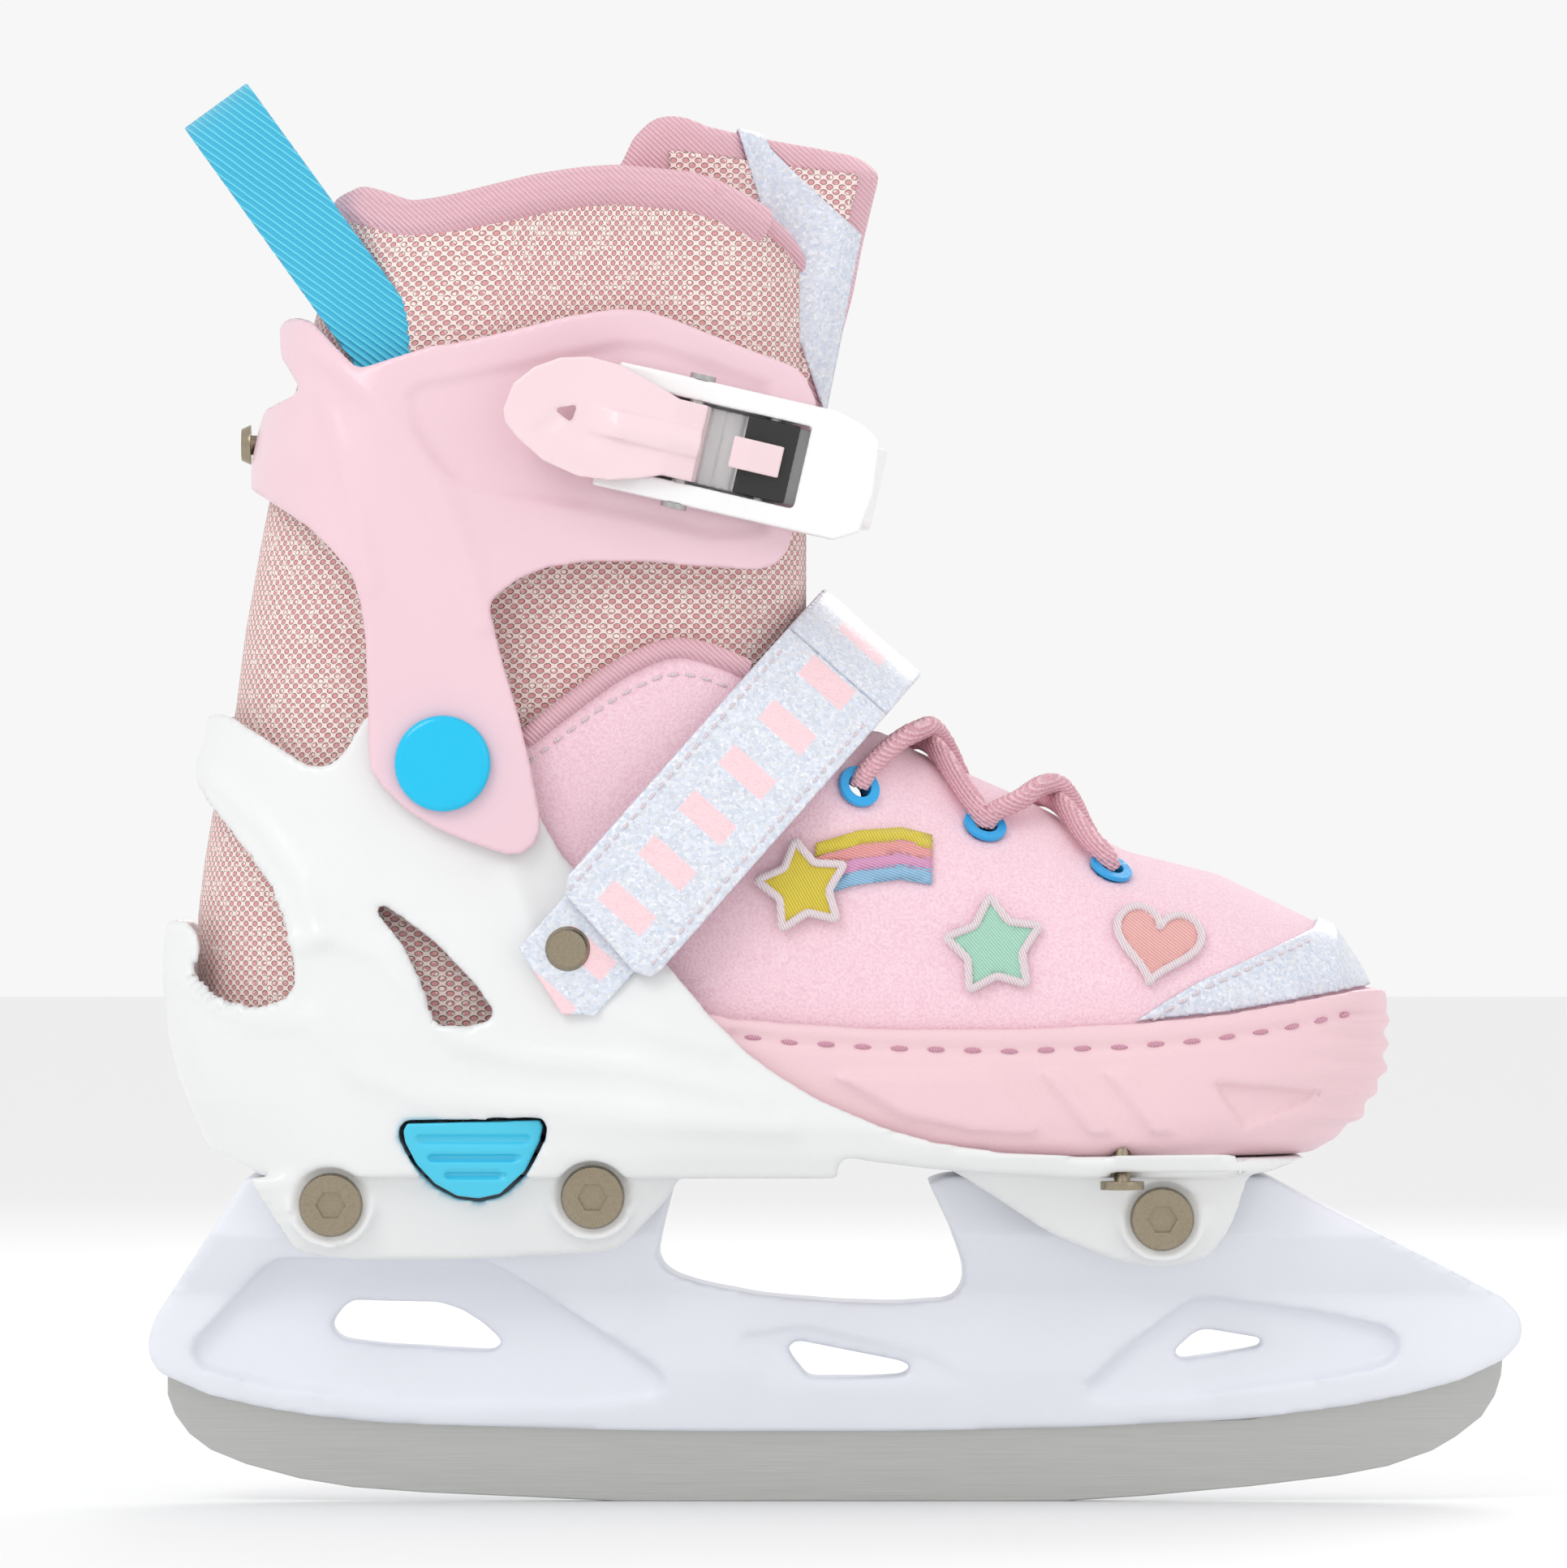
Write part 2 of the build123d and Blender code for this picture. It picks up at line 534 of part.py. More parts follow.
def vamp_point(x, z):
    """Half-width of the vamp's outer face at a place on its side."""
    for a, b in zip(VAMP_LEVELS, VAMP_LEVELS[1:]):
        if a[0] <= x <= b[0]:
            t = (x - a[0]) / (b[0] - a[0])
            low, side, turn, crown = [a[i] + t * (b[i] - a[i]) for i in range(1, 5)]
            if z <= turn:
                return low + (side - low) * (z - VAMP_BOTTOM) / (turn - VAMP_BOTTOM)
            return side * sqrt(max(0.0, 1 - ((z - turn) / (crown - turn)) ** 2))
    raise ValueError(x)


def vamp_plane(x, z, side, lift):
    """Plane on the vamp's face, looking outwards, lifted by a distance."""
    step = 1.5
    up = Vector(0, side * (vamp_point(x, z + step) - vamp_point(x, z - step)), 2 * step)
    along = Vector(2 * step, side * (vamp_point(x + step, z) - vamp_point(x - step, z)), 0)
    normal = along.cross(up) * (-side)
    normal = normal.normalized()
    centre = Vector(x, side * vamp_point(x, z), z) + normal * lift
    return Plane(origin=centre, x_dir=along, z_dir=normal)


EYELET_Z = (138.1, 130.6, 122.3)
EYELET_SPOTS = [(x, z, side) for x, z in zip(EYELET_X, EYELET_Z) for side in (-1, 1)]

with BuildPart() as vamp:
    vamp_loft(0, Mode.ADD)
    vamp_loft(VAMP_WALL, Mode.SUBTRACT, -75)
    side_cut(VAMP_REGION)
    for x, z, side in EYELET_SPOTS:
        with BuildSketch(vamp_plane(x, z, side, 3)):
            Circle(2.85)
        extrude(amount=-9, mode=Mode.SUBTRACT)
save(vamp.part, "vamp")

TOE_CAP_REGION = [(57, 93.5), (62.2, 97), (69.3, 101.2), (76.9, 104.5), (84.4, 107.8),
                  (92, 111.1), (94.0, 114.0), (112, 114), (112, 100.1), (103.6, 100.1), (99.6, 99.5),
                  (89.5, 97.8), (74.3, 95.2)]
with BuildPart() as toe_cap:
    vamp_loft(-0.9, Mode.ADD)
    vamp_loft(-0.02, Mode.SUBTRACT, -75)
    side_cut(TOE_CAP_REGION)
save(toe_cap.part, "toe_cap")

with BuildPart() as eyelets:
    for x, z, side in EYELET_SPOTS:
        with BuildSketch(vamp_plane(x, z, side, 0.2)):
            Circle(4.2)
        extrude(amount=1.0)
        with BuildSketch(vamp_plane(x, z, side, 0.2)):
            Circle(2.8)
        extrude(amount=-3.0)
        with BuildSketch(vamp_plane(x, z, side, 3)):
            Circle(2.35)
        extrude(amount=-9, mode=Mode.SUBTRACT)
save(eyelets.part, "eyelets")


def vamp_height(x, y):
    """Height of the vamp's outer face over a point in plan."""
    for a, b in zip(VAMP_LEVELS, VAMP_LEVELS[1:]):
        if a[0] <= x <= b[0]:
            t = (x - a[0]) / (b[0] - a[0])
            side, turn, crown = [a[i] + t * (b[i] - a[i]) for i in (2, 3, 4)]
            return turn + (crown - turn) * sqrt(1 - (y / side) ** 2)
    raise ValueError(x)


def over_crown(x0, z0, x1, z1, side, lift):
    """Lace route from an eyelet on one side over the crown to the other side."""
    start = vamp_plane(x0, z0, side, LACE_R + 2.1).origin
    end = vamp_plane(x1, z1, -side, LACE_R + 2.1).origin
    middle = []
    for t, y, up in ((0.25, 15.0, 0.5), (0.5, 0.0, 1.0), (0.75, -15.0, 0.5)):
        x = x0 + (x1 - x0) * t
        middle.append(Vector(x, side * y, vamp_height(x, y) + LACE_R + 0.8 + lift * up))
    return [start, *middle, end]


LACE_RUNS = [
    over_crown(EYELET_X[0], EYELET_Z[0], EYELET_X[1], EYELET_Z[1], -1, 5.4),
    over_crown(EYELET_X[0], EYELET_Z[0], EYELET_X[1], EYELET_Z[1], 1, 0.9),
    over_crown(EYELET_X[1], EYELET_Z[1], EYELET_X[2], EYELET_Z[2], -1, 5.4),
    over_crown(EYELET_X[1], EYELET_Z[1], EYELET_X[2], EYELET_Z[2], 1, 0.9),
]
with BuildPart() as laces:
    for route in LACE_RUNS:
        with BuildLine() as lace_line:
            Spline(*route)
        with BuildSketch(Plane(origin=lace_line.line @ 0, z_dir=lace_line.line % 0)):
            Circle(LACE_R - 0.25)
        sweep(path=lace_line.line)
save(laces.part, "laces")

with BuildPart() as guide_screws:
    for y in (-36, 36):
        with BuildSketch(Plane.XY.offset(61.4)):
            with Locations((54.6, y)):
                Circle(4.2)
        extrude(amount=1.6)
        with BuildSketch(Plane.XY.offset(61.4)):
            with Locations((54.6, y)):
                Circle(1.58)
        extrude(amount=8.0)
save(guide_screws.part, "guide_screws")

INSOLE_TOP = 74.5
with BuildPart() as insole_front:
    with BuildSketch(Plane.XY.offset(70.5)):
        toe_outline(-46, 31, 88, 3)
    extrude(amount=INSOLE_TOP - 70.5)
save(insole_front.part, "insole_front")

# =========================================================================
# Embroidered patches, lying on the vamp's outer side
# =========================================================================
PATCH_THICK = 1.6
PATCH_LIFT = 0.35


def star_points(radius, inner, turn):
    return [
        ((radius if k % 2 == 0 else inner) * cos(radians(turn + 36 * k)),
         (radius if k % 2 == 0 else inner) * sin(radians(turn + 36 * k)))
        for k in range(10)
    ]


with BuildPart() as star_patch:
    with BuildSketch(vamp_plane(30.1, 107.6, -1, PATCH_LIFT)):
        outline(star_points(9.6, 5.6, 96))
        fillet(vertices(), 1.2)
    extrude(amount=PATCH_THICK)
save(star_patch.part, "star_patch")

with BuildPart() as comet_patch:
    with BuildSketch(vamp_plane(-2.0, 120.5, -1, PATCH_LIFT)):
        with Locations((-4.4, -1.3)):
            Circle(7.6)
        with BuildLine():
            Polyline((-4, 4.6), (4, 7.6), (12, 8.2), (18.5, 6.6), (18.5, 2.6), (11, 1.0), (3, -4.0),
                     close=True)
        make_face()
    extrude(amount=PATCH_THICK)
save(comet_patch.part, "comet_patch")

with BuildPart() as heart_patch:
    with BuildSketch(vamp_plane(61.2, 108.6, -1, PATCH_LIFT)):
        with Locations((-3.9, 2.2), (4.1, 2.2)):
            Circle(4.9)
        with BuildLine():
            Polyline((-8.5, 0.6), (0, -7.4), (8.7, 0.6), (4, 4), (-4, 4), close=True)
        make_face()
    extrude(amount=PATCH_THICK)
save(heart_patch.part, "heart_patch")

# =========================================================================
# Inner boot: foot part (fixed in the shell), shaft part (moves with the cuff)
# =========================================================================
# height, rearmost x, half-width
LINER_LEVELS = [
    (72.0, -119.0, 30.0),
    (90.0, -123.4, 30.6),
    (104.0, -123.7, 30.6),
    (114.0, -123.5, 30.2),
    (123.0, -122.4, 30.0),
    (133.0, -120.8, 30.0),
    (143.0, -118.5, 30.0),
    (152.0, -116.4, 30.0),
    (168.0, -114.4, 30.2),
    (186.0, -111.2, 32.4),
    (200.0, -108.4, 34.0),
    (215.0, -104.6, 34.6),
    (232.0, -100.0, 35.0),
    (251.0, -96.0, 35.6),
    (258.0, -95.0, 35.8),
]
LINER_WALL = 5.4
SHAFT_FRONT = -5.5


def liner_loft(inset, mode):
    sections = []
    for z, xb, w in LINER_LEVELS:
        with BuildSketch(Plane.XY.offset(z)) as section:
            shaft_outline(xb + inset, SHAFT_FRONT - inset, w - inset, 23.2 - inset * 0.3)
        sections.append(section.sketch)
    loft(sections, ruled=True, mode=mode)


LINER_FOOT_SIDE = [
    (-125, 76.5), (-125, 138.0), (-118.0, 138.6), (-75.0, 142.2), (-12.0, 174.6), (-14, 160),
    (-18, 140), (-20, 120), (-20, 76.5),
]
with BuildPart() as liner_foot:
    liner_loft(0, Mode.ADD)
    liner_loft(LINER_WALL - 1.4, Mode.SUBTRACT)
    side_cut(LINER_FOOT_SIDE)
    with BuildSketch(Plane.XY.offset(70)):
        with Locations((-10, 0)):
            Rectangle(30, 44)
    extrude(amount=120, mode=Mode.SUBTRACT)
save(liner_foot.part, "liner_foot")

with BuildPart() as insole_heel:
    with BuildSketch(Plane.XY.offset(FLOOR_TOP + 0.1)):
        shaft_outline(-117, -64.0, 25.5, 8)
    extrude(amount=4.0)
    with BuildSketch(Plane.XY.offset(FLOOR_TOP + 0.1 + 8)):
        shaft_outline(-116, -34.0, 24.5, 8)
    extrude(amount=3.0)
    with BuildSketch(Plane.XY.offset(FLOOR_TOP + 4.0)):
        shaft_outline(-116.5, -64.0, 25.0, 8)
    extrude(amount=4.2)
    with BuildSketch(Plane.XZ.offset(18)):
        outline(BUTTON_POCKET)
    extrude(amount=40, mode=Mode.SUBTRACT)
save(insole_heel.part, "insole_heel")

LINER_SHAFT_SIDE = [
    (-125, 143.6), (-75.0, 143.6), (-12.0, 189.0), (0, 192), (0, 214), (-4, 234), (-5, 239),
    (-9.3, 243.2), (-14.8, 248.2), (-25.9, 254.3), (-41.9, 255.8), (-48.1, 255.4),
    (-56.8, 254.1), (-67.0, 251.6), (-74.8, 249.8), (-80.9, 249.2), (-85.0, 250.3),
    (-90.7, 252.8), (-95.9, 250.5), (-125, 250.5),
]
with BuildPart() as liner_shaft:
    liner_loft(0, Mode.ADD)
    liner_loft(LINER_WALL, Mode.SUBTRACT)
    side_cut(LINER_SHAFT_SIDE)
    with BuildSketch(Plane.XY.offset(140)):
        with Locations((-5, 0)):
            Rectangle(24, 41)
    extrude(amount=140, mode=Mode.SUBTRACT)
save(liner_shaft.part, "liner_shaft")

# height, front x of the tongue
TONGUE_LEVELS = [
    (190.0, -7.0), (200.0, -4.6), (213.0, -2.2), (226.0, 0.7), (234.0, 2.9),
    (243.0, 4.6), (253.0, 7.0), (256.5, 7.9), (260.0, 4.0), (267.5, -2.0),
]
TONGUE_SIDE = [
    (-44, 192.5), (-44, 254.0), (-41.9, 256), (-40.3, 258.7), (-38.6, 262.6), (-35.3, 265.9),
    (-32, 266.8), (-28.6, 266.2), (-24.3, 264.5), (-9.3, 261.8), (3.5, 259.5), (6.2, 258.2),
    (9, 256), (9, 192.5),
]


def tongue_loft(half, corner, front=None):
    sections = []
    for z, xf in TONGUE_LEVELS:
        with BuildSketch(Plane.XY.offset(z)) as section:
            shaft_outline(-110, front if front is not None else xf, half, corner)
        sections.append(section.sketch)
    loft(sections, ruled=True)


with BuildPart() as tongue:
    tongue_loft(27.2, 18, -12.0)
    tongue_loft(18.6, 9)
    with BuildSketch(Plane.XY.offset(180)):
        shaft_outline(-115, -17.0, 22.4, 12)
    extrude(amount=100, mode=Mode.SUBTRACT)
    side_cut(TONGUE_SIDE)
    add(liner_shaft.part, mode=Mode.SUBTRACT)
save(tongue.part, "tongue")

# =========================================================================
# Cuff
# =========================================================================
CUFF_SIDE = [
    (-107.3, 226.9), (-105.8, 228.5), (-103.4, 228.6), (-100.5, 227.6), (-98.4, 225.4),
    (-94.8, 221.5), (-92.0, 218.7), (-90.8, 218.3), (-77.0, 222.6), (-72.9, 223.0),
    (-61.9, 225.5), (-50.8, 228.3), (-41.9, 229.6), (-37.0, 229.4), (-31.4, 227.7),
    (-23.2, 224.4), (-14.8, 221.1), (-8.2, 218.6), (-6.0, 216.6), (-3.8, 211.7),
    (-8.4, 186.8), (-9.3, 183.4), (-11.5, 181.0), (-13.1, 180.2), (-15.5, 179.8),
    (-24.9, 180.3), (-35.9, 181.3), (-47.0, 181.4), (-55.3, 180.2), (-60.9, 177.9),
    (-65.6, 174.2), (-66.4, 172.1), (-65.3, 168.5), (-63.5, 161.4), (-60.7, 152.1),
    (-58.5, 142.9), (-56.7, 133.6), (-56.5, 130.1), (-57.5, 127.3), (-59.9, 125.6),
    (-62.9, 125.4), (-66.4, 126.5), (-71.4, 128.3), (-76.3, 130.4), (-82.0, 134.0),
    (-86.3, 138.0), (-88.8, 141.5), (-89.3, 145.7), (-89.4, 151.4), (-89.8, 165.7),
    (-90.7, 172.8), (-92.3, 178.5), (-96.2, 183.4), (-100.5, 187.7), (-104.8, 190.6),
    (-109.8, 193.8), (-113.3, 195.9), (-113.5, 197.3), (-113.0, 201.2), (-111.2, 208.4),
    (-110.1, 211.1), (-103.4, 213.7), (-103.0, 215.1), (-104.8, 218.0), (-106.9, 221.2),
]
CUFF_LEVELS = [(120.0, -113.7, CUFF_OUT), (201.0, -113.2, CUFF_OUT), (232.0, -107.8, CUFF_OUT)]
CUFF_REAR_DEPTH = 26.0
CUFF_FRONT = 20.0
REAR_RIVET_X = -113.3
REAR_RIVET_Z = 204.6


def cuff_loft(inset, mode):
    """Half-elliptical rear with flat, parallel arms."""
    sections = []
    for z, rear, half in CUFF_LEVELS:
        centre = rear + CUFF_REAR_DEPTH
        with BuildLine() as line:
            EllipticalCenterArc(
                (centre, 0), CUFF_REAR_DEPTH - inset, half - inset, start_angle=90, arc_size=180
            )
            Polyline(
                (centre, inset - half), (CUFF_FRONT, inset - half),
                (CUFF_FRONT, half - inset), (centre, half - inset),
            )
        with BuildSketch(Plane.XY.offset(z)) as section:
            make_face(line.edges())
        sections.append(section.sketch)
    loft(sections, ruled=True, mode=mode)


with BuildPart() as cuff:
    cuff_loft(0, Mode.ADD)
    cuff_loft(CUFF_OUT - CUFF_IN, Mode.SUBTRACT)
    side_cut(CUFF_SIDE)
    with Locations(Plane(origin=(PIVOT[0], 0, PIVOT[1]), z_dir=(0, 1, 0))):
        Cylinder(PIVOT_R + PIVOT_GAP, 100, mode=Mode.SUBTRACT)
    with Locations(Plane(origin=(-110, 0, REAR_RIVET_Z), z_dir=(1, 0, 0))):
        Cylinder(2.0, 20, mode=Mode.SUBTRACT)
save(cuff.part, "cuff")

with BuildPart() as rear_rivet:
    with BuildSketch(Plane(origin=(REAR_RIVET_X, 0, REAR_RIVET_Z), z_dir=(-1, 0, 0))):
        Circle(3.9)
    extrude(amount=1.8, taper=25)
    with BuildSketch(Plane(origin=(REAR_RIVET_X, 0, REAR_RIVET_Z), z_dir=(-1, 0, 0))):
        Circle(1.98)
    extrude(amount=-3.6)
save(rear_rivet.part, "rear_rivet")

# =========================================================================
# Ratchet buckle. u runs along the strap, v across it, w outwards (-Y).
# =========================================================================
BUCKLE_PLANE = Plane(
    origin=(BUCKLE_O[0], -CUFF_OUT, BUCKLE_O[1]),
    x_dir=(cos(TILT), 0, -sin(TILT)),
    z_dir=(0, -1, 0),
)
BUCKLE_SIDE_PLANE = Plane(
    origin=BUCKLE_PLANE.origin,
    x_dir=(cos(TILT), 0, -sin(TILT)),
    z_dir=(-sin(TILT), 0, -cos(TILT)),
)
LEVER_PIN_W = 7.2
PAWL_U = 15.2
PAWL_PIN_W = 6.4
RAIL_IN = 8.0
RAIL_OUT = 12.0
RAIL_TOP = 9.6
FRAME_FLOOR = 1.4
LADDER_HALF = 7.4
LADDER_LOW = 1.9
LADDER_TOP = 3.9
HUB_R = 3.0


def bar_v(u, w, radius, half, mode=Mode.ADD):
    """A round bar across the buckle, centred on its middle plane."""
    with BuildSketch(BUCKLE_SIDE_PLANE) as end:
        with Locations((u, w)):
            Circle(radius)
    extrude(end.sketch, amount=half, both=True, mode=mode)


def side_block(points, half, mode=Mode.ADD):
    """A block with this outline seen along v, as wide as twice half."""
    with BuildSketch(BUCKLE_SIDE_PLANE) as end:
        outline(points)
    extrude(end.sketch, amount=half, both=True, mode=mode)


def uv_block(points, w0, w1, mode=Mode.ADD):
    """A block with this outline seen from outside, between two heights."""
    with BuildSketch(BUCKLE_PLANE.offset(w0)) as face:
        outline(points)
    extrude(face.sketch, amount=w1 - w0, mode=mode)


def rectangle(u0, u1, v0, v1):
    return [(u0, v0), (u1, v0), (u1, v1), (u0, v1)]


with BuildPart() as buckle_frame:
    uv_block([(-16, -RAIL_OUT), (31, -RAIL_OUT), (35.5, -9.5), (36.5, -2), (35.5, 8), (32, 10.4),
              (26, RAIL_OUT), (-16, RAIL_OUT)], 0.0, RAIL_TOP)
    # no floor where the strap turns in towards the shin
    uv_block(rectangle(19.0, 45, -RAIL_IN - 2, RAIL_IN + 2), -1, FRAME_FLOOR + 0.1, Mode.SUBTRACT)
    # strap tunnel, right through
    uv_block(rectangle(-20, 45, -RAIL_IN, RAIL_IN), FRAME_FLOOR, 5.2, Mode.SUBTRACT)
    # window over the lever's hub and the pawl
    uv_block(rectangle(-20, 22.3, -RAIL_IN, RAIL_IN), FRAME_FLOOR, 20, Mode.SUBTRACT)
    bar_v(0, LEVER_PIN_W, 1.6, 20, Mode.SUBTRACT)
    bar_v(PAWL_U, PAWL_PIN_W, 1.1, 20, Mode.SUBTRACT)
    side_block([(-20, 5.6), (-7.5, RAIL_TOP), (-20, RAIL_TOP)], 20, Mode.SUBTRACT)
save(buckle_frame.part, "buckle_frame")

with BuildPart() as buckle_rivets:
    with BuildSketch(BUCKLE_PLANE.offset(FRAME_FLOOR)):
        with Locations((-11, 0), (5, 0)):
            Circle(2.4)
    extrude(amount=0.35)
save(buckle_rivets.part, "buckle_rivets")

with BuildPart() as lever_pin:
    bar_v(0, LEVER_PIN_W, 1.58, RAIL_OUT)
    for side in (-1, 1):
        with BuildSketch(BUCKLE_SIDE_PLANE.offset(side * RAIL_OUT)):
            with Locations((0, LEVER_PIN_W)):
                Circle(2.5)
        extrude(amount=side * 1.0)
save(lever_pin.part, "lever_pin")

with BuildPart() as pawl_pin:
    bar_v(PAWL_U, PAWL_PIN_W, 1.08, RAIL_OUT)
save(pawl_pin.part, "pawl_pin")

LEVER_LOW = 10.0
LEVER_HIGH = 12.8
LEVER_UV = [
    (-35.6, -2.1), (-34.8, 3.2), (-31.6, 7.2), (-27.2, 10.0), (-22.0, 11.4), (-16.0, 11.2),
    (-10.0, 9.6), (-3.6, 7.5), (-3.6, -7.5), (-8.0, -9.2), (-13.0, -10.6), (-19.0, -11.2),
    (-26.0, -9.8), (-31.6, -6.8), (-34.6, -4.4),
]
THUMB_HOLE = [(-26.4, 0.2), (-22.0, 2.0), (-22.4, -1.6)]

with BuildPart() as buckle_lever:
    uv_block(LEVER_UV, LEVER_LOW, LEVER_HIGH)
    bar_v(0, LEVER_PIN_W, HUB_R, 7.4)
    side_block([(-6.0, LEVER_LOW), (-2.6, LEVER_PIN_W), (2.4, LEVER_PIN_W + 1.5),
                (2.4, LEVER_HIGH - 2.0), (-3.6, LEVER_HIGH)], 7.4)
    # finger grip under the thumb end
    uv_block([(-35.0, -3.6), (-34.4, 2.8), (-31.0, 6.6), (-27.0, 9.0), (-27.0, -8.6), (-31.4, -6.2)],
             LEVER_LOW - 2.6, LEVER_LOW)
    # spine along the middle
    side_block([(-20, LEVER_HIGH), (-14, LEVER_HIGH + 1.0), (-4, LEVER_HIGH + 0.5),
                (2.4, LEVER_HIGH - 1.4), (0, LEVER_LOW)], 2.6)
    uv_block(THUMB_HOLE, 0, 20, Mode.SUBTRACT)
    bar_v(0, LEVER_PIN_W, 1.64, 20, Mode.SUBTRACT)
save(buckle_lever.part, "buckle_lever")

with BuildPart() as pawl:
    side_block([(10.6, 5.2), (13.0, 4.6), (17.6, 4.9), (19.4, 6.0), (20.4, 9.2), (10.2, 9.2)], 7.5)
    bar_v(PAWL_U, PAWL_PIN_W, 1.14, 20, Mode.SUBTRACT)
save(pawl.part, "pawl")

with BuildPart() as release_tab:
    side_block([(8.4, 9.2), (18.1, 9.2), (18.1, 10.2), (12.0, 11.8), (8.4, 12.0)], 3.0)
save(release_tab.part, "release_tab")

# Ladder strap: out of the buckle, round the front of the shin, back along
# the inner side of the foot to its root on the cuff.
FRONT_U = 37.5
TURN_OUT = 16.5
TURN_IN = 2.0
LADDER_END_U = -12.0
LADDER_STEP = 3.6
LADDER_STEPS = 8
MEDIAL_W = -2 * CUFF_OUT
STRAP_SPLIT_U = -6.0


def ladder_face(inset, u_lateral, u_medial):
    """Seen along v: the area inside the strap, at a distance outside its inner face."""
    u1 = FRONT_U - TURN_OUT
    low = LADDER_LOW + inset
    far = MEDIAL_W - LADDER_LOW - inset
    radius = TURN_OUT - TURN_IN + inset
    d = radius * sqrt(0.5)
    cy0 = low - radius
    cy1 = far + radius
    with BuildLine() as line:
        Line((u_lateral, low), (u1, low))
        ThreePointArc((u1, low), (u1 + d, cy0 + d), (u1 + radius, cy0))
        Line((u1 + radius, cy0), (u1 + radius, cy1))
        ThreePointArc((u1 + radius, cy1), (u1 + d, cy1 - d), (u1, far))
        Line((u1, far), (u_medial, far))
        Polyline((u_medial, far), (u_medial, -CUFF_OUT), (u_lateral, -CUFF_OUT), (u_lateral, low))
    make_face(line.edges())


with BuildPart() as ladder_strap:
    with BuildSketch(BUCKLE_SIDE_PLANE):
        ladder_face(LADDER_TOP - LADDER_LOW, LADDER_END_U, STRAP_SPLIT_U)
    extrude(amount=LADDER_HALF, both=True)
    with BuildSketch(BUCKLE_SIDE_PLANE):
        ladder_face(0, LADDER_END_U, STRAP_SPLIT_U)
    extrude(amount=20, both=True, mode=Mode.SUBTRACT)
    # ladder steps cut across the outer face
    for k in range(LADDER_STEPS):
        step = -8.5 + LADDER_STEP * k
        side_block([(step, LADDER_TOP - 0.9), (step, LADDER_TOP + 1), (step + 2.2, LADDER_TOP + 1)], 20,
                   Mode.SUBTRACT)
save(ladder_strap.part, "ladder_strap")

with BuildPart() as strap_root:
    side_block([(-34, MEDIAL_W - 4.1), (-8.3, MEDIAL_W - 4.1), (-8.3, MEDIAL_W - 1.9), (-22, MEDIAL_W - 1.9),
                (-24, MEDIAL_W - 0.05), (-34, MEDIAL_W - 0.05)], LADDER_HALF)
    with BuildSketch(BUCKLE_PLANE.offset(MEDIAL_W - 10)):
        with Locations((-29, 0)):
            Circle(2.4)
    extrude(amount=30, mode=Mode.SUBTRACT)
save(strap_root.part, "strap_root")

with BuildPart() as strap_root_rivet:
    with BuildSketch(BUCKLE_PLANE.offset(MEDIAL_W - 4.1)):
        with Locations((-29, 0)):
            Circle(4.6)
    extrude(amount=-1.6, taper=25)
    with BuildSketch(BUCKLE_PLANE.offset(MEDIAL_W - 4.1)):
        with Locations((-29, 0)):
            Circle(2.38)
    extrude(amount=4.05)
save(strap_root_rivet.part, "strap_root_rivet")

# =========================================================================
# Instep strap. n climbs along the strap in the side view, a crosses it.
# =========================================================================
STRAP_PLANE = Plane(
    origin=(STRAP_O[0], 0, STRAP_O[1]),
    x_dir=(0, 1, 0),
    z_dir=(sin(TURN), 0, -cos(TURN)),
)


# half of the strap's arch, from the crown down the flank, as (y, n)
STRAP_ARCH = [(0, -0.6), (12, -2.4), (25, -10.0), (35.4, -26.0), (40.2, -46.0), (42.0, -64.0),
              (43.4, -92.0)]
LAYER = 1.5
LAYER_GAP = 0.3
OUTER_LAYER = 2 * LAYER + LAYER_GAP


def arch_face(points, outset):
    """Arch-shaped face over the foot, grown outwards by a distance."""
    half = []
    for i, (y, n) in enumerate(points):
        y0, n0 = points[max(i - 1, 0)]
        y1, n1 = points[min(i + 1, len(points) - 1)]
        run = sqrt((y1 - y0) ** 2 + (n1 - n0) ** 2)
        slope_y = 0 if i == 0 else -(n1 - n0) / run
        slope_n = 1 if i == 0 else (y1 - y0) / run
        half.append((y + outset * slope_y, n + outset * slope_n))
    left = [(-y, n) for y, n in reversed(half)]
    with BuildLine() as line:
        Spline(*left, *half[1:])
        Line(half[-1], left[0])
    make_face(line.edges())


def band(plane, points, low, high, half_width):
    """A strip bent to the arch, between two distances outside it."""
    with BuildSketch(plane) as outer:
        arch_face(points, high)
    extrude(outer.sketch, amount=half_width, both=True)
    with BuildSketch(plane) as inner:
        arch_face(points, low)
    extrude(inner.sketch, amount=half_width + 5, both=True, mode=Mode.SUBTRACT)


def strap_side(points, mode=Mode.INTERSECT):
    side_cut([strap_place(a, n) for a, n in points], mode)


# The flap hinges on a line on its outer face, so its end face is square to it.
FLAP_HINGE = (-27.5, -8.0)
FLAP_NORMAL = (-0.555, 0.832)
FLAP_END_GAP = 0.5


def flap_region(gap):
    """Arch-plane area of the flap, its end face moved up along the strap by a gap."""
    y = FLAP_HINGE[0] + gap * FLAP_NORMAL[1]
    n = FLAP_HINGE[1] - gap * FLAP_NORMAL[0]
    return [
        (y + FLAP_NORMAL[0], n + FLAP_NORMAL[1]),
        (y - 6 * FLAP_NORMAL[0], n - 6 * FLAP_NORMAL[1]),
        (-10, -110), (-80, -110), (-80, n + FLAP_NORMAL[1]),
    ]


FLAP_END = [(-12.6, -71.5), (-10.6, -74.5), (9.0, -76.8), (12.0, -75.5), (12.6, -73.0), (12.6, 20),
            (-12.6, 20)]

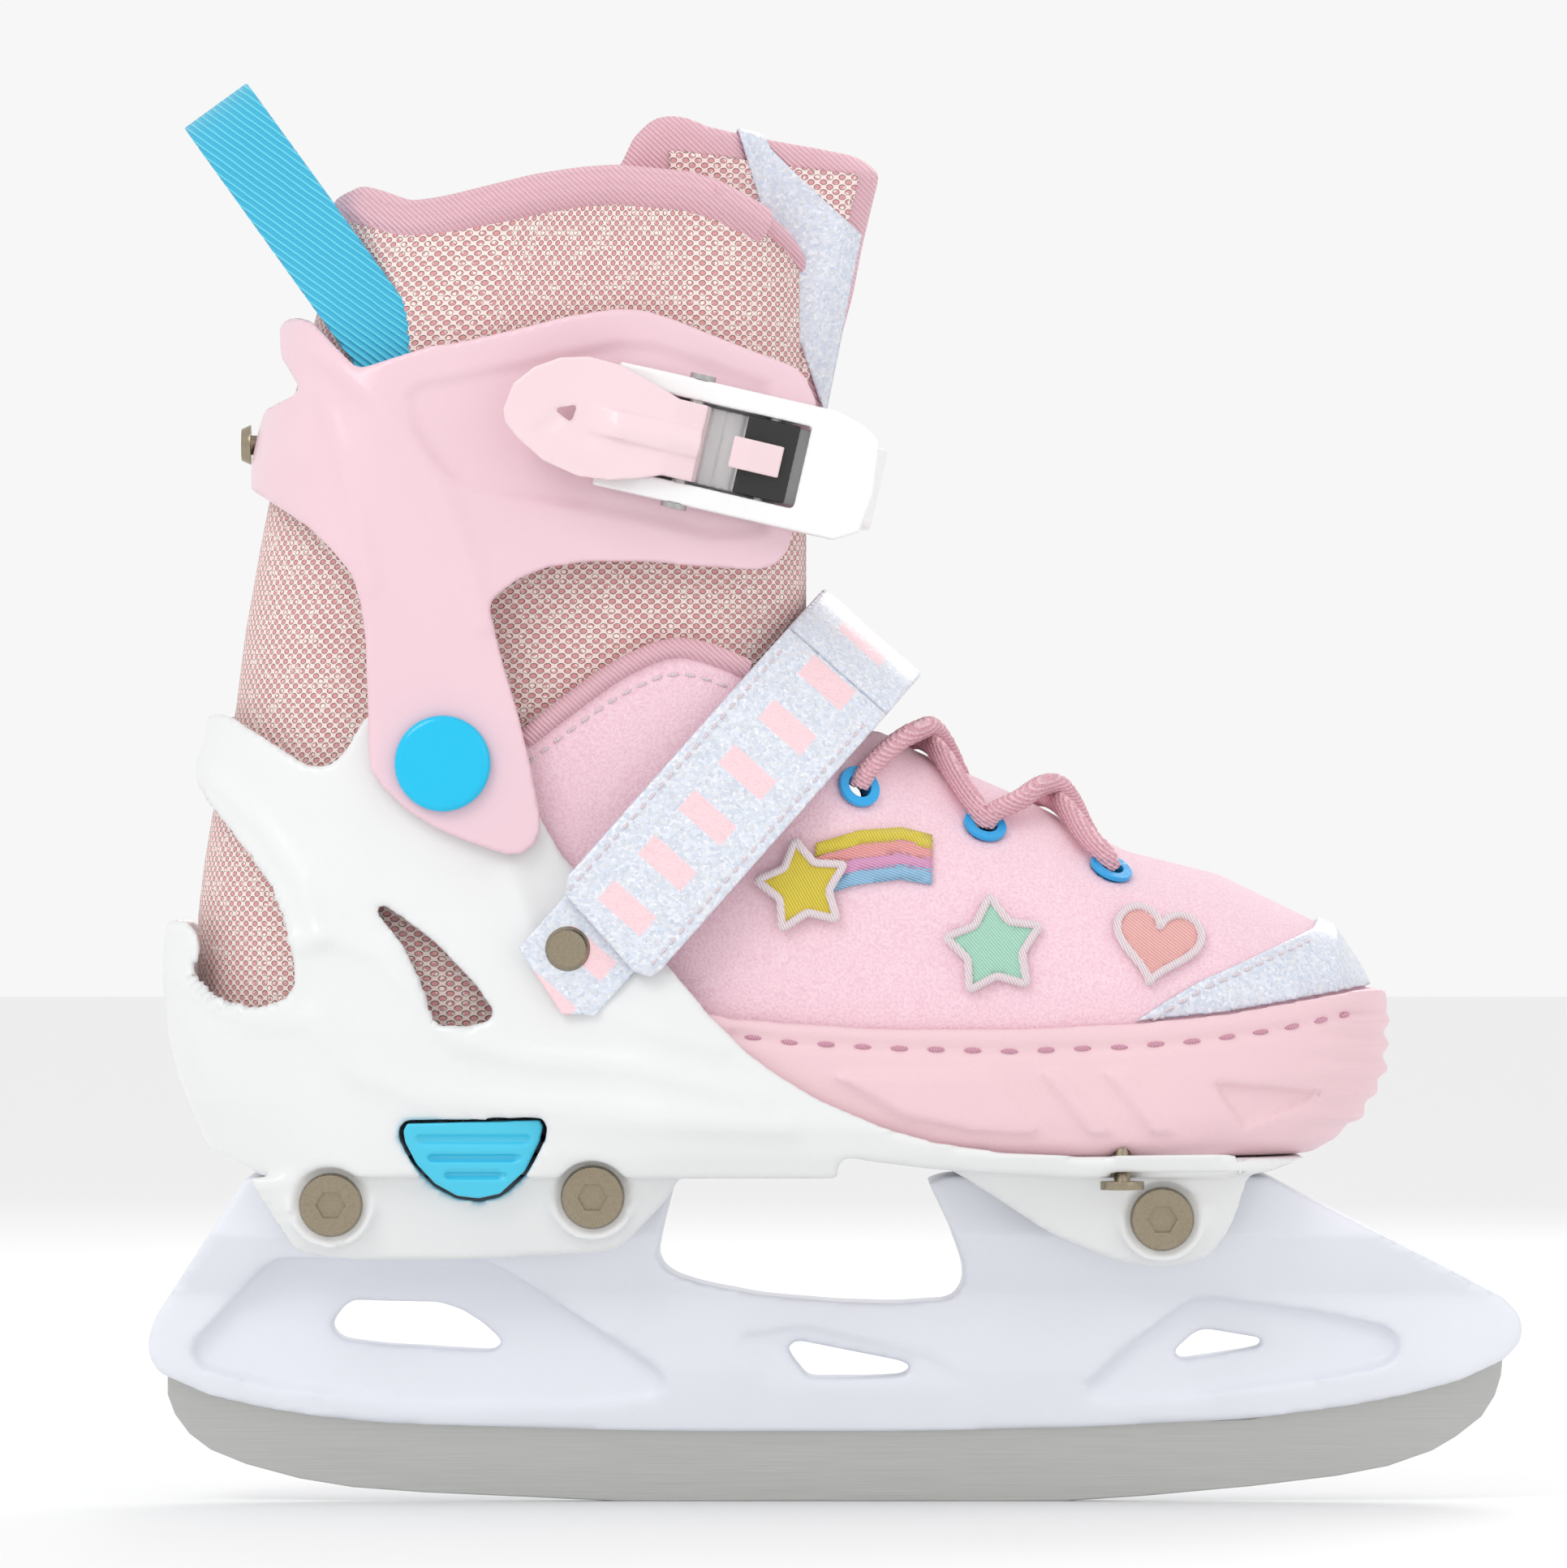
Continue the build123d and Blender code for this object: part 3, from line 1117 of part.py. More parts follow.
with BuildPart() as strap_flap:
    band(STRAP_PLANE, STRAP_ARCH, LAYER + LAYER_GAP, OUTER_LAYER, STRAP_HALF)
    strap_side(FLAP_END)
    with BuildSketch(STRAP_PLANE):
        outline(flap_region(0))
    extrude(amount=40, both=True, mode=Mode.INTERSECT)
save(strap_flap.part, "strap_flap")

with BuildPart() as flap_room:
    band(STRAP_PLANE, STRAP_ARCH, LAYER, OUTER_LAYER + 2, STRAP_HALF + 2)
    with BuildSketch(STRAP_PLANE):
        outline(flap_region(FLAP_END_GAP))
    extrude(amount=40, both=True, mode=Mode.INTERSECT)

with BuildPart() as instep_strap:
    band(STRAP_PLANE, STRAP_ARCH, 0, OUTER_LAYER, STRAP_HALF)
    strap_side([(-30, -57.5), (30, -57.5), (30, 10), (-30, 10)])
    add(flap_room.part, mode=Mode.SUBTRACT)
save(instep_strap.part, "instep_strap")

STRAP_FLAT = Plane(
    origin=(STRAP_O[0], 0, STRAP_O[1]),
    x_dir=(sin(TURN), 0, -cos(TURN)),
    z_dir=(0, -1, 0),
)
ANCHOR_Y = 42.0


def anchor(side, n_top):
    """Webbing tab that lies against the shell, from its rivet up to n_top."""
    with BuildSketch(STRAP_FLAT.offset(-side * ANCHOR_Y)) as tab:
        outline([(-10.5, -88.0), (4.0, -92.0), (9.0, -88.0), (9.0, n_top), (-10.5, n_top)])
        with Locations(RIVET_PLACE):
            Circle(1.95, mode=Mode.SUBTRACT)
    extrude(tab.sketch, amount=-side * 1.3)


with BuildPart() as strap_anchor:
    anchor(-1, -60.0)
save(strap_anchor.part, "strap_anchor")

with BuildPart() as ring_tab:
    anchor(1, -70.0)
save(ring_tab.part, "ring_tab")

with BuildPart() as strap_rivets:
    for side in (-1, 1):
        with BuildSketch(STRAP_FLAT.offset(-side * (ANCHOR_Y + 1.3))):
            with Locations(RIVET_PLACE):
                Circle(4.3)
        extrude(amount=-side * 1.2, taper=35)
        with BuildSketch(STRAP_FLAT.offset(-side * (ANCHOR_Y + 1.3))):
            with Locations(RIVET_PLACE):
                Circle(1.9)
        extrude(amount=side * 6.6)
save(strap_rivets.part, "strap_rivets")

with BuildPart() as strap_ring:
    with BuildSketch(STRAP_FLAT.offset(-43.9)):
        with Locations((0, -63.4)):
            RectangleRounded(31, 10.8, 2.4)
            RectangleRounded(26.6, 6.4, 1.2, mode=Mode.SUBTRACT)
    extrude(amount=-2.2)
    fillet(strap_ring.edges().filter_by(GeomType.LINE), 0.5)
save(strap_ring.part, "strap_ring")

# =========================================================================
# Pull loop at the heel: ribbon folded over, both ends between cuff and liner
# =========================================================================
LOOP_PLANE = Plane(origin=(-84.0, 0, 220.5), x_dir=(0, 1, 0), z_dir=(0.81, 0, 0.587))
LOOP_ARCH = [(0, 60.6), (7.0, 58.0), (12.5, 48.0), (19.0, 32.0), (27.5, 14.0), (31.0, 2.0),
             (32.0, -6.0)]

with BuildPart() as pull_loop:
    band(LOOP_PLANE, LOOP_ARCH, 0, 1.0, RIBBON_WIDTH / 2)
    add(cuff.part, mode=Mode.SUBTRACT)
    add(liner_shaft.part, mode=Mode.SUBTRACT)
save(pull_loop.part, "pull_loop")
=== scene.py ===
import json
import math

import bmesh
import bpy
import numpy as np
from mathutils import Matrix, Vector
from mathutils.bvhtree import BVHTree


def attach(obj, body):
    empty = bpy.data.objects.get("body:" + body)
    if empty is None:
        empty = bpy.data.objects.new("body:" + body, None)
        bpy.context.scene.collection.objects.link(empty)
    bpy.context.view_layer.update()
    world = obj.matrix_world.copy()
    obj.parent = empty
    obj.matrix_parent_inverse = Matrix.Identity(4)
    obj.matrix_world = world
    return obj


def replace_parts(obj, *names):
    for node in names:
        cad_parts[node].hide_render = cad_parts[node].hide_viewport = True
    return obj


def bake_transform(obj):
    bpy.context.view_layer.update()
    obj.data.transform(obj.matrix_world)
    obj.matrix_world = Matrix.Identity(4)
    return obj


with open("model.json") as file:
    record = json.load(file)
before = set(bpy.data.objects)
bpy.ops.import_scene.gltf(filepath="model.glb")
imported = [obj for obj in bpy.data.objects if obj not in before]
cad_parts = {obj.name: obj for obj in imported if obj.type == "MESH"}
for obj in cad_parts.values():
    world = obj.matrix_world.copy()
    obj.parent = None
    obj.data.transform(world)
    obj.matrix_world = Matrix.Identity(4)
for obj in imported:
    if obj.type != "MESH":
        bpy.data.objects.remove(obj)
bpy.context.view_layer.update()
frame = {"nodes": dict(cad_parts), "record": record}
NODES = frame["nodes"]
BODY_OF = {n: b for b, names in frame["record"]["behaviour"]["bodies"].items() for n in names}
MM = 0.001


# ---------------------------------------------------------------- finishes
def linear(hex_colour):
    """sRGB hex to the linear colour that the shaders take."""
    out = []
    for i in (0, 2, 4):
        v = int(hex_colour[i:i + 2], 16) / 255
        out.append(v / 12.92 if v <= 0.04045 else ((v + 0.055) / 1.055) ** 2.4)
    return (*out, 1.0)


def feed(tree, node, feeds):
    """Links sockets and sets plain values on a node's inputs."""
    for key, value in feeds.items():
        if isinstance(value, bpy.types.NodeSocket):
            tree.links.new(value, node.inputs[key])
        else:
            node.inputs[key].default_value = value


def add_node(tree, kind, feeds, **settings):
    """A node with its settings, its plain values and its links."""
    new = tree.nodes.new("ShaderNode" + kind)
    for key, value in settings.items():
        setattr(new, key, value)
    feed(tree, new, feeds)
    return new.outputs


def start_finish(name, roughness, **uniform):
    """A new material: itself, its node tree, its shader and its coordinates."""
    material = bpy.data.materials.new(name)
    material.use_nodes = True
    tree = material.node_tree
    shader = tree.nodes["Principled BSDF"]
    shader.inputs["Roughness"].default_value = roughness
    for key, value in uniform.items():
        shader.inputs[key.replace("_", " ")].default_value = value
    place = add_node(tree, "TexCoord", {})
    return material, tree, shader, place


def darker(base, share):
    return tuple(c * share for c in base[:3]) + (1.0,)


def moulded_plastic(name, colour, roughness, grain_mm=0.03):
    """Injection-moulded plastic: even gloss, a faint flow mottling and a fine skin."""
    material, tree, shader, place = start_finish(name, roughness)
    base = linear(colour)
    flow = add_node(tree, "TexNoise", {0: place["Object"], "Scale": 35.0, "Detail": 2.0})
    mottled = add_node(tree, "Mix", {0: flow[0], 6: darker(base, 0.93), 7: base}, data_type="RGBA")
    # skin of about 0.8 mm orange peel
    skin = add_node(tree, "TexNoise", {0: place["Object"], "Scale": 1200.0, "Detail": 1.0})
    bump = add_node(tree, "Bump", {"Height": skin[0], "Distance": grain_mm * MM, "Strength": 1.0})
    feed(tree, shader, {"Base Color": mottled[2], "Normal": bump[0]})
    return material


def plated_steel(name, colour, roughness, direction=(300, 300, 300)):
    """Ground or plated steel: scratches along the grinding direction, drawn
    coarser than real ones so that they show."""
    material, tree, shader, place = start_finish(name, roughness, Metallic=1.0)
    base = linear(colour)
    turned = add_node(tree, "Mapping", {0: place["Object"], "Scale": direction})
    lines = add_node(tree, "TexNoise", {0: turned[0], "Scale": 6.0, "Detail": 3.0})
    dulled = add_node(tree, "Mix", {0: lines[0], 6: darker(base, 0.72), 7: base}, data_type="RGBA")
    rough = add_node(tree, "MapRange", {0: lines[0], 3: roughness - 0.08, 4: roughness + 0.14})
    bump = add_node(tree, "Bump", {"Height": lines[0], "Distance": 0.03 * MM, "Strength": 1.0})
    feed(tree, shader, {"Base Color": dulled[2], "Roughness": rough[0], "Normal": bump[0]})
    return material


def brushed_felt(name, colour, dark):
    """Felted pile: fibre tufts of about 0.5 mm, matte with a soft sheen."""
    material, tree, shader, place = start_finish(name, 0.92, Sheen_Weight=0.35)
    fibre = add_node(tree, "TexNoise", {0: place["Object"], "Scale": 1900.0, "Detail": 4.0})
    spread = add_node(tree, "MapRange", {0: fibre[0], 1: 0.3, 2: 0.62})
    pile = add_node(tree, "Mix", {0: spread[0], 6: linear(dark), 7: linear(colour)}, data_type="RGBA")
    bump = add_node(tree, "Bump", {"Height": fibre[0], "Distance": 0.35 * MM, "Strength": 0.7})
    feed(tree, shader, {"Base Color": pile[2], "Normal": bump[0]})
    return material


NET_PITCH = (0.0024, 0.0019)
HOLE_EDGE = (0.21, 0.30)


def net_cloth(name, coordinate, net, hole, glint):
    """Sports net over a darker backing: staggered holes at NET_PITCH metres."""
    material, tree, shader, place = start_finish(name, 0.7, Sheen_Weight=0.2)
    per_metre = (1 / NET_PITCH[0], 1 / NET_PITCH[1], 1.0)
    grid = add_node(tree, "VectorMath", {0: coordinate(tree, place), 1: per_metre}, operation="MULTIPLY")
    distances = []
    for shift in ((0, 0, 0), (0.5, 0.5, 0)):
        spot = add_node(tree, "VectorMath", {0: grid[0], 1: shift}, operation="ADD")
        for operation, feeds in (("FRACTION", {}), ("SUBTRACT", {1: (0.5, 0.5, 0)}),
                                 ("MULTIPLY", {1: (1, 1, 0)}), ("LENGTH", {})):
            spot = add_node(tree, "VectorMath", {0: spot[0], **feeds}, operation=operation)
        distances.append(spot[1])
    near = add_node(tree, "Math", dict(enumerate(distances)), operation="MINIMUM")
    thread = add_node(tree, "MapRange", {0: near[0], 1: HOLE_EDGE[0], 2: HOLE_EDGE[1]})
    # glinting foil threads in the backing
    flecks = add_node(tree, "TexVoronoi", {0: place["Object"], "Scale": 1500.0})
    spark = add_node(tree, "MapRange", {0: flecks["Color"], 1: 0.72, 2: 0.8})
    backing = add_node(tree, "Mix", {0: spark[0], 6: linear(hole), 7: linear(glint)}, data_type="RGBA")
    cloth = add_node(tree, "Mix", {0: thread[0], 6: backing[2], 7: linear(net)}, data_type="RGBA")
    bump = add_node(tree, "Bump", {"Height": thread[0], "Distance": 0.6 * MM, "Strength": 1.0})
    feed(tree, shader, {"Base Color": cloth[2], "Normal": bump[0]})
    return material


DASH_PITCH = 0.0115
DASH_SHARE = 0.42
DASH_EDGE = (0.0052, 0.0056)


def glitter_cloth(name, base, tint, dashes=None):
    """Glitter laminate: 0.6 mm foil flakes of mixed shine on white. Dashes
    gives a printed row's two directions, its middle and its colour."""
    material, tree, shader, place = start_finish(name, 0.34, Coat_Weight=0.35, Coat_Roughness=0.25)
    flakes = add_node(tree, "TexVoronoi", {0: place["Object"], "Scale": 1650.0})
    pick = add_node(tree, "SeparateColor", {0: flakes["Color"]})
    bright = add_node(tree, "MapRange", {0: pick[0], 3: 0.82, 4: 1.0})
    tinted = add_node(tree, "Mix", {0: pick[1], 6: linear(base), 7: linear(tint)}, data_type="RGBA")
    top = add_node(tree, "Mix", {0: 1.0, 6: tinted[2], 7: bright[0]}, data_type="RGBA", blend_type="MULTIPLY")
    if dashes:
        across, middle, lengthways, printed = dashes
        side = add_node(tree, "VectorMath", {0: place["Object"], 1: across}, operation="DOT_PRODUCT")
        off = add_node(tree, "Math", {0: side[1], 1: middle}, operation="SUBTRACT")
        wide = add_node(tree, "Math", {0: off[0]}, operation="ABSOLUTE")
        lane = add_node(tree, "MapRange", {0: wide[0], 1: DASH_EDGE[0], 2: DASH_EDGE[1], 3: 1.0, 4: 0.0})
        run = add_node(tree, "VectorMath", {0: place["Object"], 1: lengthways}, operation="DOT_PRODUCT")
        turns = add_node(tree, "Math", {0: run[1], 1: 1 / DASH_PITCH}, operation="MULTIPLY")
        part = add_node(tree, "Math", {0: turns[0]}, operation="FRACT")
        block = add_node(tree, "Math", {0: part[0], 1: DASH_SHARE}, operation="LESS_THAN")
        mask = add_node(tree, "Math", {0: lane[0], 1: block[0]}, operation="MULTIPLY")
        top = add_node(tree, "Mix", {0: mask[0], 6: top[2], 7: linear(printed)}, data_type="RGBA")
    shine = add_node(tree, "MapRange", {0: pick[2], 1: 0.85, 2: 0.97, 3: 0.0, 4: 0.6})
    bump = add_node(tree, "Bump", {"Height": pick[0], "Distance": 0.12 * MM, "Strength": 1.0})
    feed(tree, shader, {"Base Color": top[2], "Metallic": shine[0], "Normal": bump[0]})
    return material


def woven_band(name, colour, dark, pitch_mm, turn, roughness=0.8):
    """Twill, ribbed or satin-stitched thread: parallel ribs at one pitch."""
    material, tree, shader, place = start_finish(name, roughness, Sheen_Weight=0.2)
    turned = add_node(tree, "Mapping", {0: place["Object"], "Rotation": turn})
    ribs = add_node(tree, "TexWave", {0: turned[0], "Scale": 1 / (pitch_mm * MM) / 3.2, "Distortion": 0.6,
                                      "Detail": 1.0}, bands_direction="X")
    cloth = add_node(tree, "Mix", {0: ribs["Fac"], 6: linear(dark), 7: linear(colour)}, data_type="RGBA")
    bump = add_node(tree, "Bump", {"Height": ribs["Fac"], "Distance": pitch_mm * 0.35 * MM, "Strength": 1.0})
    feed(tree, shader, {"Base Color": cloth[2], "Normal": bump[0]})
    return material


# moulded plastics: the shell glossy, the holder duller, the sole a soft rubber
SHELL = moulded_plastic("gloss_white_polypropylene", "EEEFEF", 0.24)
HOLDER = moulded_plastic("white_nylon", "ECEEF6", 0.33)
CUFF = moulded_plastic("pale_pink_polypropylene", "F1CFD9", 0.26)
LEVER = moulded_plastic("pale_pink_lever_nylon", "F4DADF", 0.24)
SOLE = moulded_plastic("pink_sole_rubber", "F1CDD4", 0.42, 0.06)
WHITE = moulded_plastic("white_acetal", "F7F7F7", 0.25)
BLACK = moulded_plastic("black_nylon", "222222", 0.4)
CAP = moulded_plastic("blue_cap_abs", "00C4F0", 0.14)
BUTTON = moulded_plastic("blue_button_abs", "4CD0F0", 0.22)
EYELET = moulded_plastic("blue_enamel", "2AA8E8", 0.2)
# metals: the blade ground lengthways, the bolts plated and a little brown
BLADE = plated_steel("ground_blade_steel", "C9CAC7", 0.32, (8, 900, 900))
NICKEL = plated_steel("nickel_plated_steel", "A89C86", 0.26)
PIN = plated_steel("turned_pin_steel", "C0C0BE", 0.28)
# cloths and threads: felt matte, padding and laces ribbed, ribbon corded
FELT = brushed_felt("pink_felt", "F8D8E2", "EFC3D2")
INSOLE = brushed_felt("grey_insole_felt", "E4E4E6", "BDBDC2")
PADDING = woven_band("pink_twill_padding", "F3C9D2", "E5AEBC", 0.8, (0, 0.8, 0))
LACE = woven_band("pink_braided_lace", "F4C6CE", "DDA0AE", 0.7, (0, 0.9, 0.3))
RIBBON = woven_band("blue_ribbed_ribbon", "5CD6F0", "2FB6E2", 1.2, (0, 0.94, 0), 0.6)
THREAD = woven_band("white_sewing_thread", "FBF3F5", "E3CBD3", 0.5, (0, 0.4, 0))
# thread for the sole's stitches, darker than the sole: partly the thread's own pink, partly painted shade of
# the stitch holes in the seam groove
PINK_THREAD_WITH_PAINTED_SHADE = woven_band("pink_thread_with_painted_hole_shade", "E5AFC2", "CF8FA7", 0.5, (0, 0.4, 0))
NET = net_cloth("white_net_over_rose_foam", lambda tree, place: place["UV"], "F8E4DE", "DC9A9A", "FFEFE6")


def upright_plane(axis):
    """A coordinate with one level axis (0 is x, 1 is y) and z as its two directions."""
    def coordinate(tree, place):
        split = add_node(tree, "SeparateXYZ", {0: place["Object"]})
        return add_node(tree, "CombineXYZ", {0: split[axis], 1: split[2]})[0]
    return coordinate


TONGUE_NET = net_cloth("white_net_on_tongue", upright_plane(0), "F8E2DE", "DC9C9E", "FFEFE6")
TONGUE_FRONT = net_cloth("white_net_under_tongue", upright_plane(1), "F8E2DE", "DC9C9E", "FFEFE6")
GLITTER = glitter_cloth("white_glitter_laminate", "F1F2F7", "D9E2F4")
STRAP_TURN = math.radians(48.5)
STRAP_ACROSS = (math.sin(STRAP_TURN), 0, -math.cos(STRAP_TURN))
STRAP_ALONG = (math.cos(STRAP_TURN), 0, math.sin(STRAP_TURN))
STRAP_TOP = (5.6, 166.6)
STRAP_MID = STRAP_TOP[0] * MM * STRAP_ACROSS[0] + STRAP_TOP[1] * MM * STRAP_ACROSS[2]
STRAP_CLOTH = glitter_cloth("white_glitter_strap", "F3F4F9", "DDE6F6",
                            (STRAP_ACROSS, STRAP_MID, STRAP_ALONG, "FAD6DC"))
STITCHED = {
    "yellow": woven_band("yellow_satin_stitch", "F0DE55", "D3B92B", 0.5, (0, 0.5, 0), 0.5),
    "lilac": woven_band("lilac_satin_stitch", "EDB2D6", "D68ABB", 0.5, (0, 1.2, 0), 0.5),
    "coral": woven_band("coral_satin_stitch", "F8B3B0", "E58E8C", 0.5, (0, 1.2, 0), 0.5),
    "blue": woven_band("blue_satin_stitch", "A9D2EE", "7FB3DA", 0.5, (0, 1.2, 0), 0.5),
    "mint": woven_band("mint_satin_stitch", "C4EDDA", "97D3B8", 0.5, (0, 0.7, 0), 0.5),
    "heart": woven_band("heart_satin_stitch", "F8C5C0", "EA9F9B", 0.5, (0, 0.9, 0), 0.5),
}


# ------------------------------------------------------------------ making
def coat(mesh, material):
    """One material and smooth shading."""
    mesh.materials.clear()
    mesh.materials.append(material)
    mesh.polygons.foreach_set("use_smooth", [True] * len(mesh.polygons))


def show(name, mesh, material):
    piece = bpy.data.objects.new(name, mesh)
    bpy.context.scene.collection.objects.link(piece)
    coat(mesh, material)
    return piece


def settled(piece):
    """The piece with its modifiers or curve turned into a plain mesh."""
    graph = bpy.context.evaluated_depsgraph_get()
    return bpy.data.meshes.new_from_object(piece.evaluated_get(graph))


def freeze(piece):
    piece.data = settled(piece)
    piece.modifiers.clear()


def thicken(piece, thickness_mm, offset):
    """A wall on a skin: offset -1 puts it inside, 0 to both sides."""
    wall = piece.modifiers.new("wall", "SOLIDIFY")
    wall.thickness = thickness_mm * MM
    wall.offset = offset
    freeze(piece)


def mesh_of(shape, name):
    mesh = bpy.data.meshes.new(name)
    shape.to_mesh(mesh)
    shape.free()
    return mesh


def cut_whole(shape, place, normal, closeness, clear=False):
    """Bisects everything in a shape along a plane."""
    bmesh.ops.bisect_plane(shape, geom=shape.verts[:] + shape.edges[:] + shape.faces[:], dist=closeness,
                           plane_co=place, plane_no=normal, clear_outer=clear)


def cad_copy(names):
    """CAD nodes as one mesh with their doubled points merged."""
    shape = bmesh.new()
    for name in names:
        shape.from_mesh(NODES[name].data)
    bmesh.ops.remove_doubles(shape, verts=shape.verts, dist=1e-6)
    return mesh_of(shape, "copy")


def points_of(mesh):
    """A mesh's points in mm and its normals."""
    co = np.empty(len(mesh.vertices) * 3)
    normals = np.empty(len(mesh.vertices) * 3)
    mesh.vertices.foreach_get("co", co)
    mesh.vertices.foreach_get("normal", normals)
    return co.reshape(-1, 3) / MM, normals.reshape(-1, 3)


def sculpt(mesh, relief):
    """Moves every vertex along its normal by relief(co, normals), in mm."""
    co, normals = points_of(mesh)
    co = (co + normals * relief(co, normals)[:, None]) * MM
    mesh.vertices.foreach_set("co", co.ravel())
    mesh.update()


def moulded(name, nodes, grain_mm, rounds, material, relief=None, ride=True):
    """A copy of CAD nodes with the soft, rounded edges of a moulded part."""
    piece = show(name, cad_copy(nodes), material)
    skin = piece.modifiers.new("skin", "REMESH")
    skin.mode = "VOXEL"
    skin.voxel_size = grain_mm * MM
    soft = piece.modifiers.new("soft", "SMOOTH")
    soft.factor = 0.5
    soft.iterations = rounds
    freeze(piece)
    coat(piece.data, material)
    if relief:
        sculpt(piece.data, relief)
    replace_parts(piece, *nodes)
    if ride:
        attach(piece, BODY_OF[nodes[0]])
    return piece


def away(co, line):
    """Distance in side view from every point to a line of points, in mm."""
    best = np.full(len(co), 1e9)
    flat = co[:, (0, 2)]
    for a, b in zip(line, line[1:]):
        a, b = np.array(a, float), np.array(b, float)
        share = np.clip(((flat - a) @ (b - a)) / max((b - a) @ (b - a), 1e-9), 0, 1)
        best = np.minimum(best, np.linalg.norm(flat - a - share[:, None] * (b - a), axis=1))
    return best


def within(co, outline):
    """True for points inside a closed outline in side view."""
    inside = np.zeros(len(co), bool)
    x, z = co[:, 0], co[:, 2]
    for (x0, z0), (x1, z1) in zip(outline, outline[1:] + outline[:1]):
        if z0 == z1:
            continue
        crosses = ((z0 > z) != (z1 > z)) & (x < (x1 - x0) * (z - z0) / (z1 - z0) + x0)
        inside ^= crosses
    return inside


def outer(co, normals):
    """1 on faces that look to the side and outwards, 0 elsewhere."""
    return np.clip((np.sign(co[:, 1]) * normals[:, 1] - 0.2) / 0.3, 0, 1)


def swell(distance, height, width):
    """A rounded rib's height at a distance from its middle."""
    return height * np.exp(-(distance / width) ** 2)


def tree_of(*pieces):
    graph = bpy.context.evaluated_depsgraph_get()
    return [BVHTree.FromObject(piece, graph) for piece in pieces]


def touch(trees, x, z, side, lift=0.0):
    """Where a line from the side first meets the pieces, in mm, lifted off."""
    best = None
    for tree in trees:
        hit, normal, _, far = tree.ray_cast(Vector((x, side * 150, z)) * MM, Vector((0, -side, 0)))
        if hit and (best is None or far < best[2]):
            best = (hit, normal, far)
    if best is None:
        return None
    normal = best[1] if best[1].y * side > 0 else -best[1]
    return best[0] / MM + normal * lift


def new_curve(name, radius_mm=0.0, roundness=0):
    curve = bpy.data.curves.new(name, "CURVE")
    curve.dimensions = "3D"
    curve.bevel_depth = radius_mm * MM
    curve.bevel_resolution = roundness
    curve.use_fill_caps = radius_mm > 0
    return curve


def add_line(curve, kind, points):
    line = curve.splines.new(kind)
    line.points.add(len(points) - 1)
    for point, place in zip(line.points, points):
        point.co = (*place, 1.0)
    return line


def curve_mesh(curve):
    """A curve turned into a plain mesh."""
    guide = bpy.data.objects.new(curve.name + "_guide", curve)
    bpy.context.scene.collection.objects.link(guide)
    mesh = settled(guide)
    bpy.data.objects.remove(guide)
    return mesh


def tube(name, path, radius_mm, material, body, closed=False):
    """A round cord or piping along points in mm."""
    curve = new_curve(name, radius_mm, 3)
    line = add_line(curve, "NURBS", [Vector(place) * MM for place in path])
    line.order_u = 3
    line.use_endpoint_u = not closed
    line.use_cyclic_u = closed
    line.resolution_u = 4
    piece = show(name, curve_mesh(curve), material)
    if body:
        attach(piece, body)
    return piece


def along(path, pitch):
    """Points and directions at equal steps along a line of points."""
    path = [Vector(p) for p in path]
    spots = []
    carry = pitch / 2
    for a, b in zip(path, path[1:]):
        run = (b - a).length
        while carry <= run:
            spots.append((a + (b - a) * (carry / run), (b - a).normalized()))
            carry += pitch
        carry -= run
    return spots


def stitches(name, path, pitch, length, radius, material, body):
    """A row of short raised stitches."""
    shape = bmesh.new()
    for spot, way in along(path, pitch):
        turn = Vector((0, 0, 1)).rotation_difference(way).to_matrix().to_4x4()
        size = Matrix.Diagonal((radius * MM, radius * MM, length / 2 * MM, 1))
        bmesh.ops.create_uvsphere(shape, u_segments=6, v_segments=5, radius=1,
                                  matrix=Matrix.Translation(spot * MM) @ turn @ size)
    piece = show(name, mesh_of(shape, name), material)
    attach(piece, body)
    return piece


def fine(line, step=2.0):
    """The same line of side-view points with more of them."""
    out = [line[0]]
    for a, b in zip(line, line[1:]):
        n = max(1, int(math.dist(a, b) / step))
        out += [(a[0] + (b[0] - a[0]) * k / n, a[1] + (b[1] - a[1]) * k / n) for k in range(1, n + 1)]
    return out


def laid_on(trees, line, side, lift):
    """A side-view line laid on pieces from one side; points that miss drop out."""
    spots = [touch(trees, x, z, side, lift) for x, z in line]
    return [s for s in spots if s is not None]


# ------------------------------------------------------------ moulded parts
# each rib: its line in side view (x, z in mm), its height and its width
SHELL_RIBS = [
    ([(-104, 108), (-96, 110), (-86, 106), (-79, 97), (-72, 90), (-58, 86.5), (-38, 85), (-14, 79)],
     1.0, 2.6),
    ([(-62, 122), (-58, 110), (-49, 99), (-36, 92.5), (-22, 89)], 0.8, 2.6),
    ([(-124, 100), (-112, 94), (-100, 94), (-92, 84), (-78, 79), (-50, 77), (-10, 74)], 0.9, 3.0),
    ([(-120, 140), (-110, 131), (-102, 120), (-99, 110)], 0.9, 2.4),
]
HEEL_RING = [(-122, 107), (-122.5, 101), (-118, 97), (-111, 95.5), (-105, 97.5), (-103, 103), (-105.5, 113),
             (-112.5, 126), (-121, 136)]


def shell_relief(co, normals):
    lift = np.zeros(len(co))
    for line, height, width in SHELL_RIBS:
        lift += swell(away(co, line), height, width)
    lift += swell(away(co, HEEL_RING), 0.7, 1.8)
    return lift * outer(co, normals)


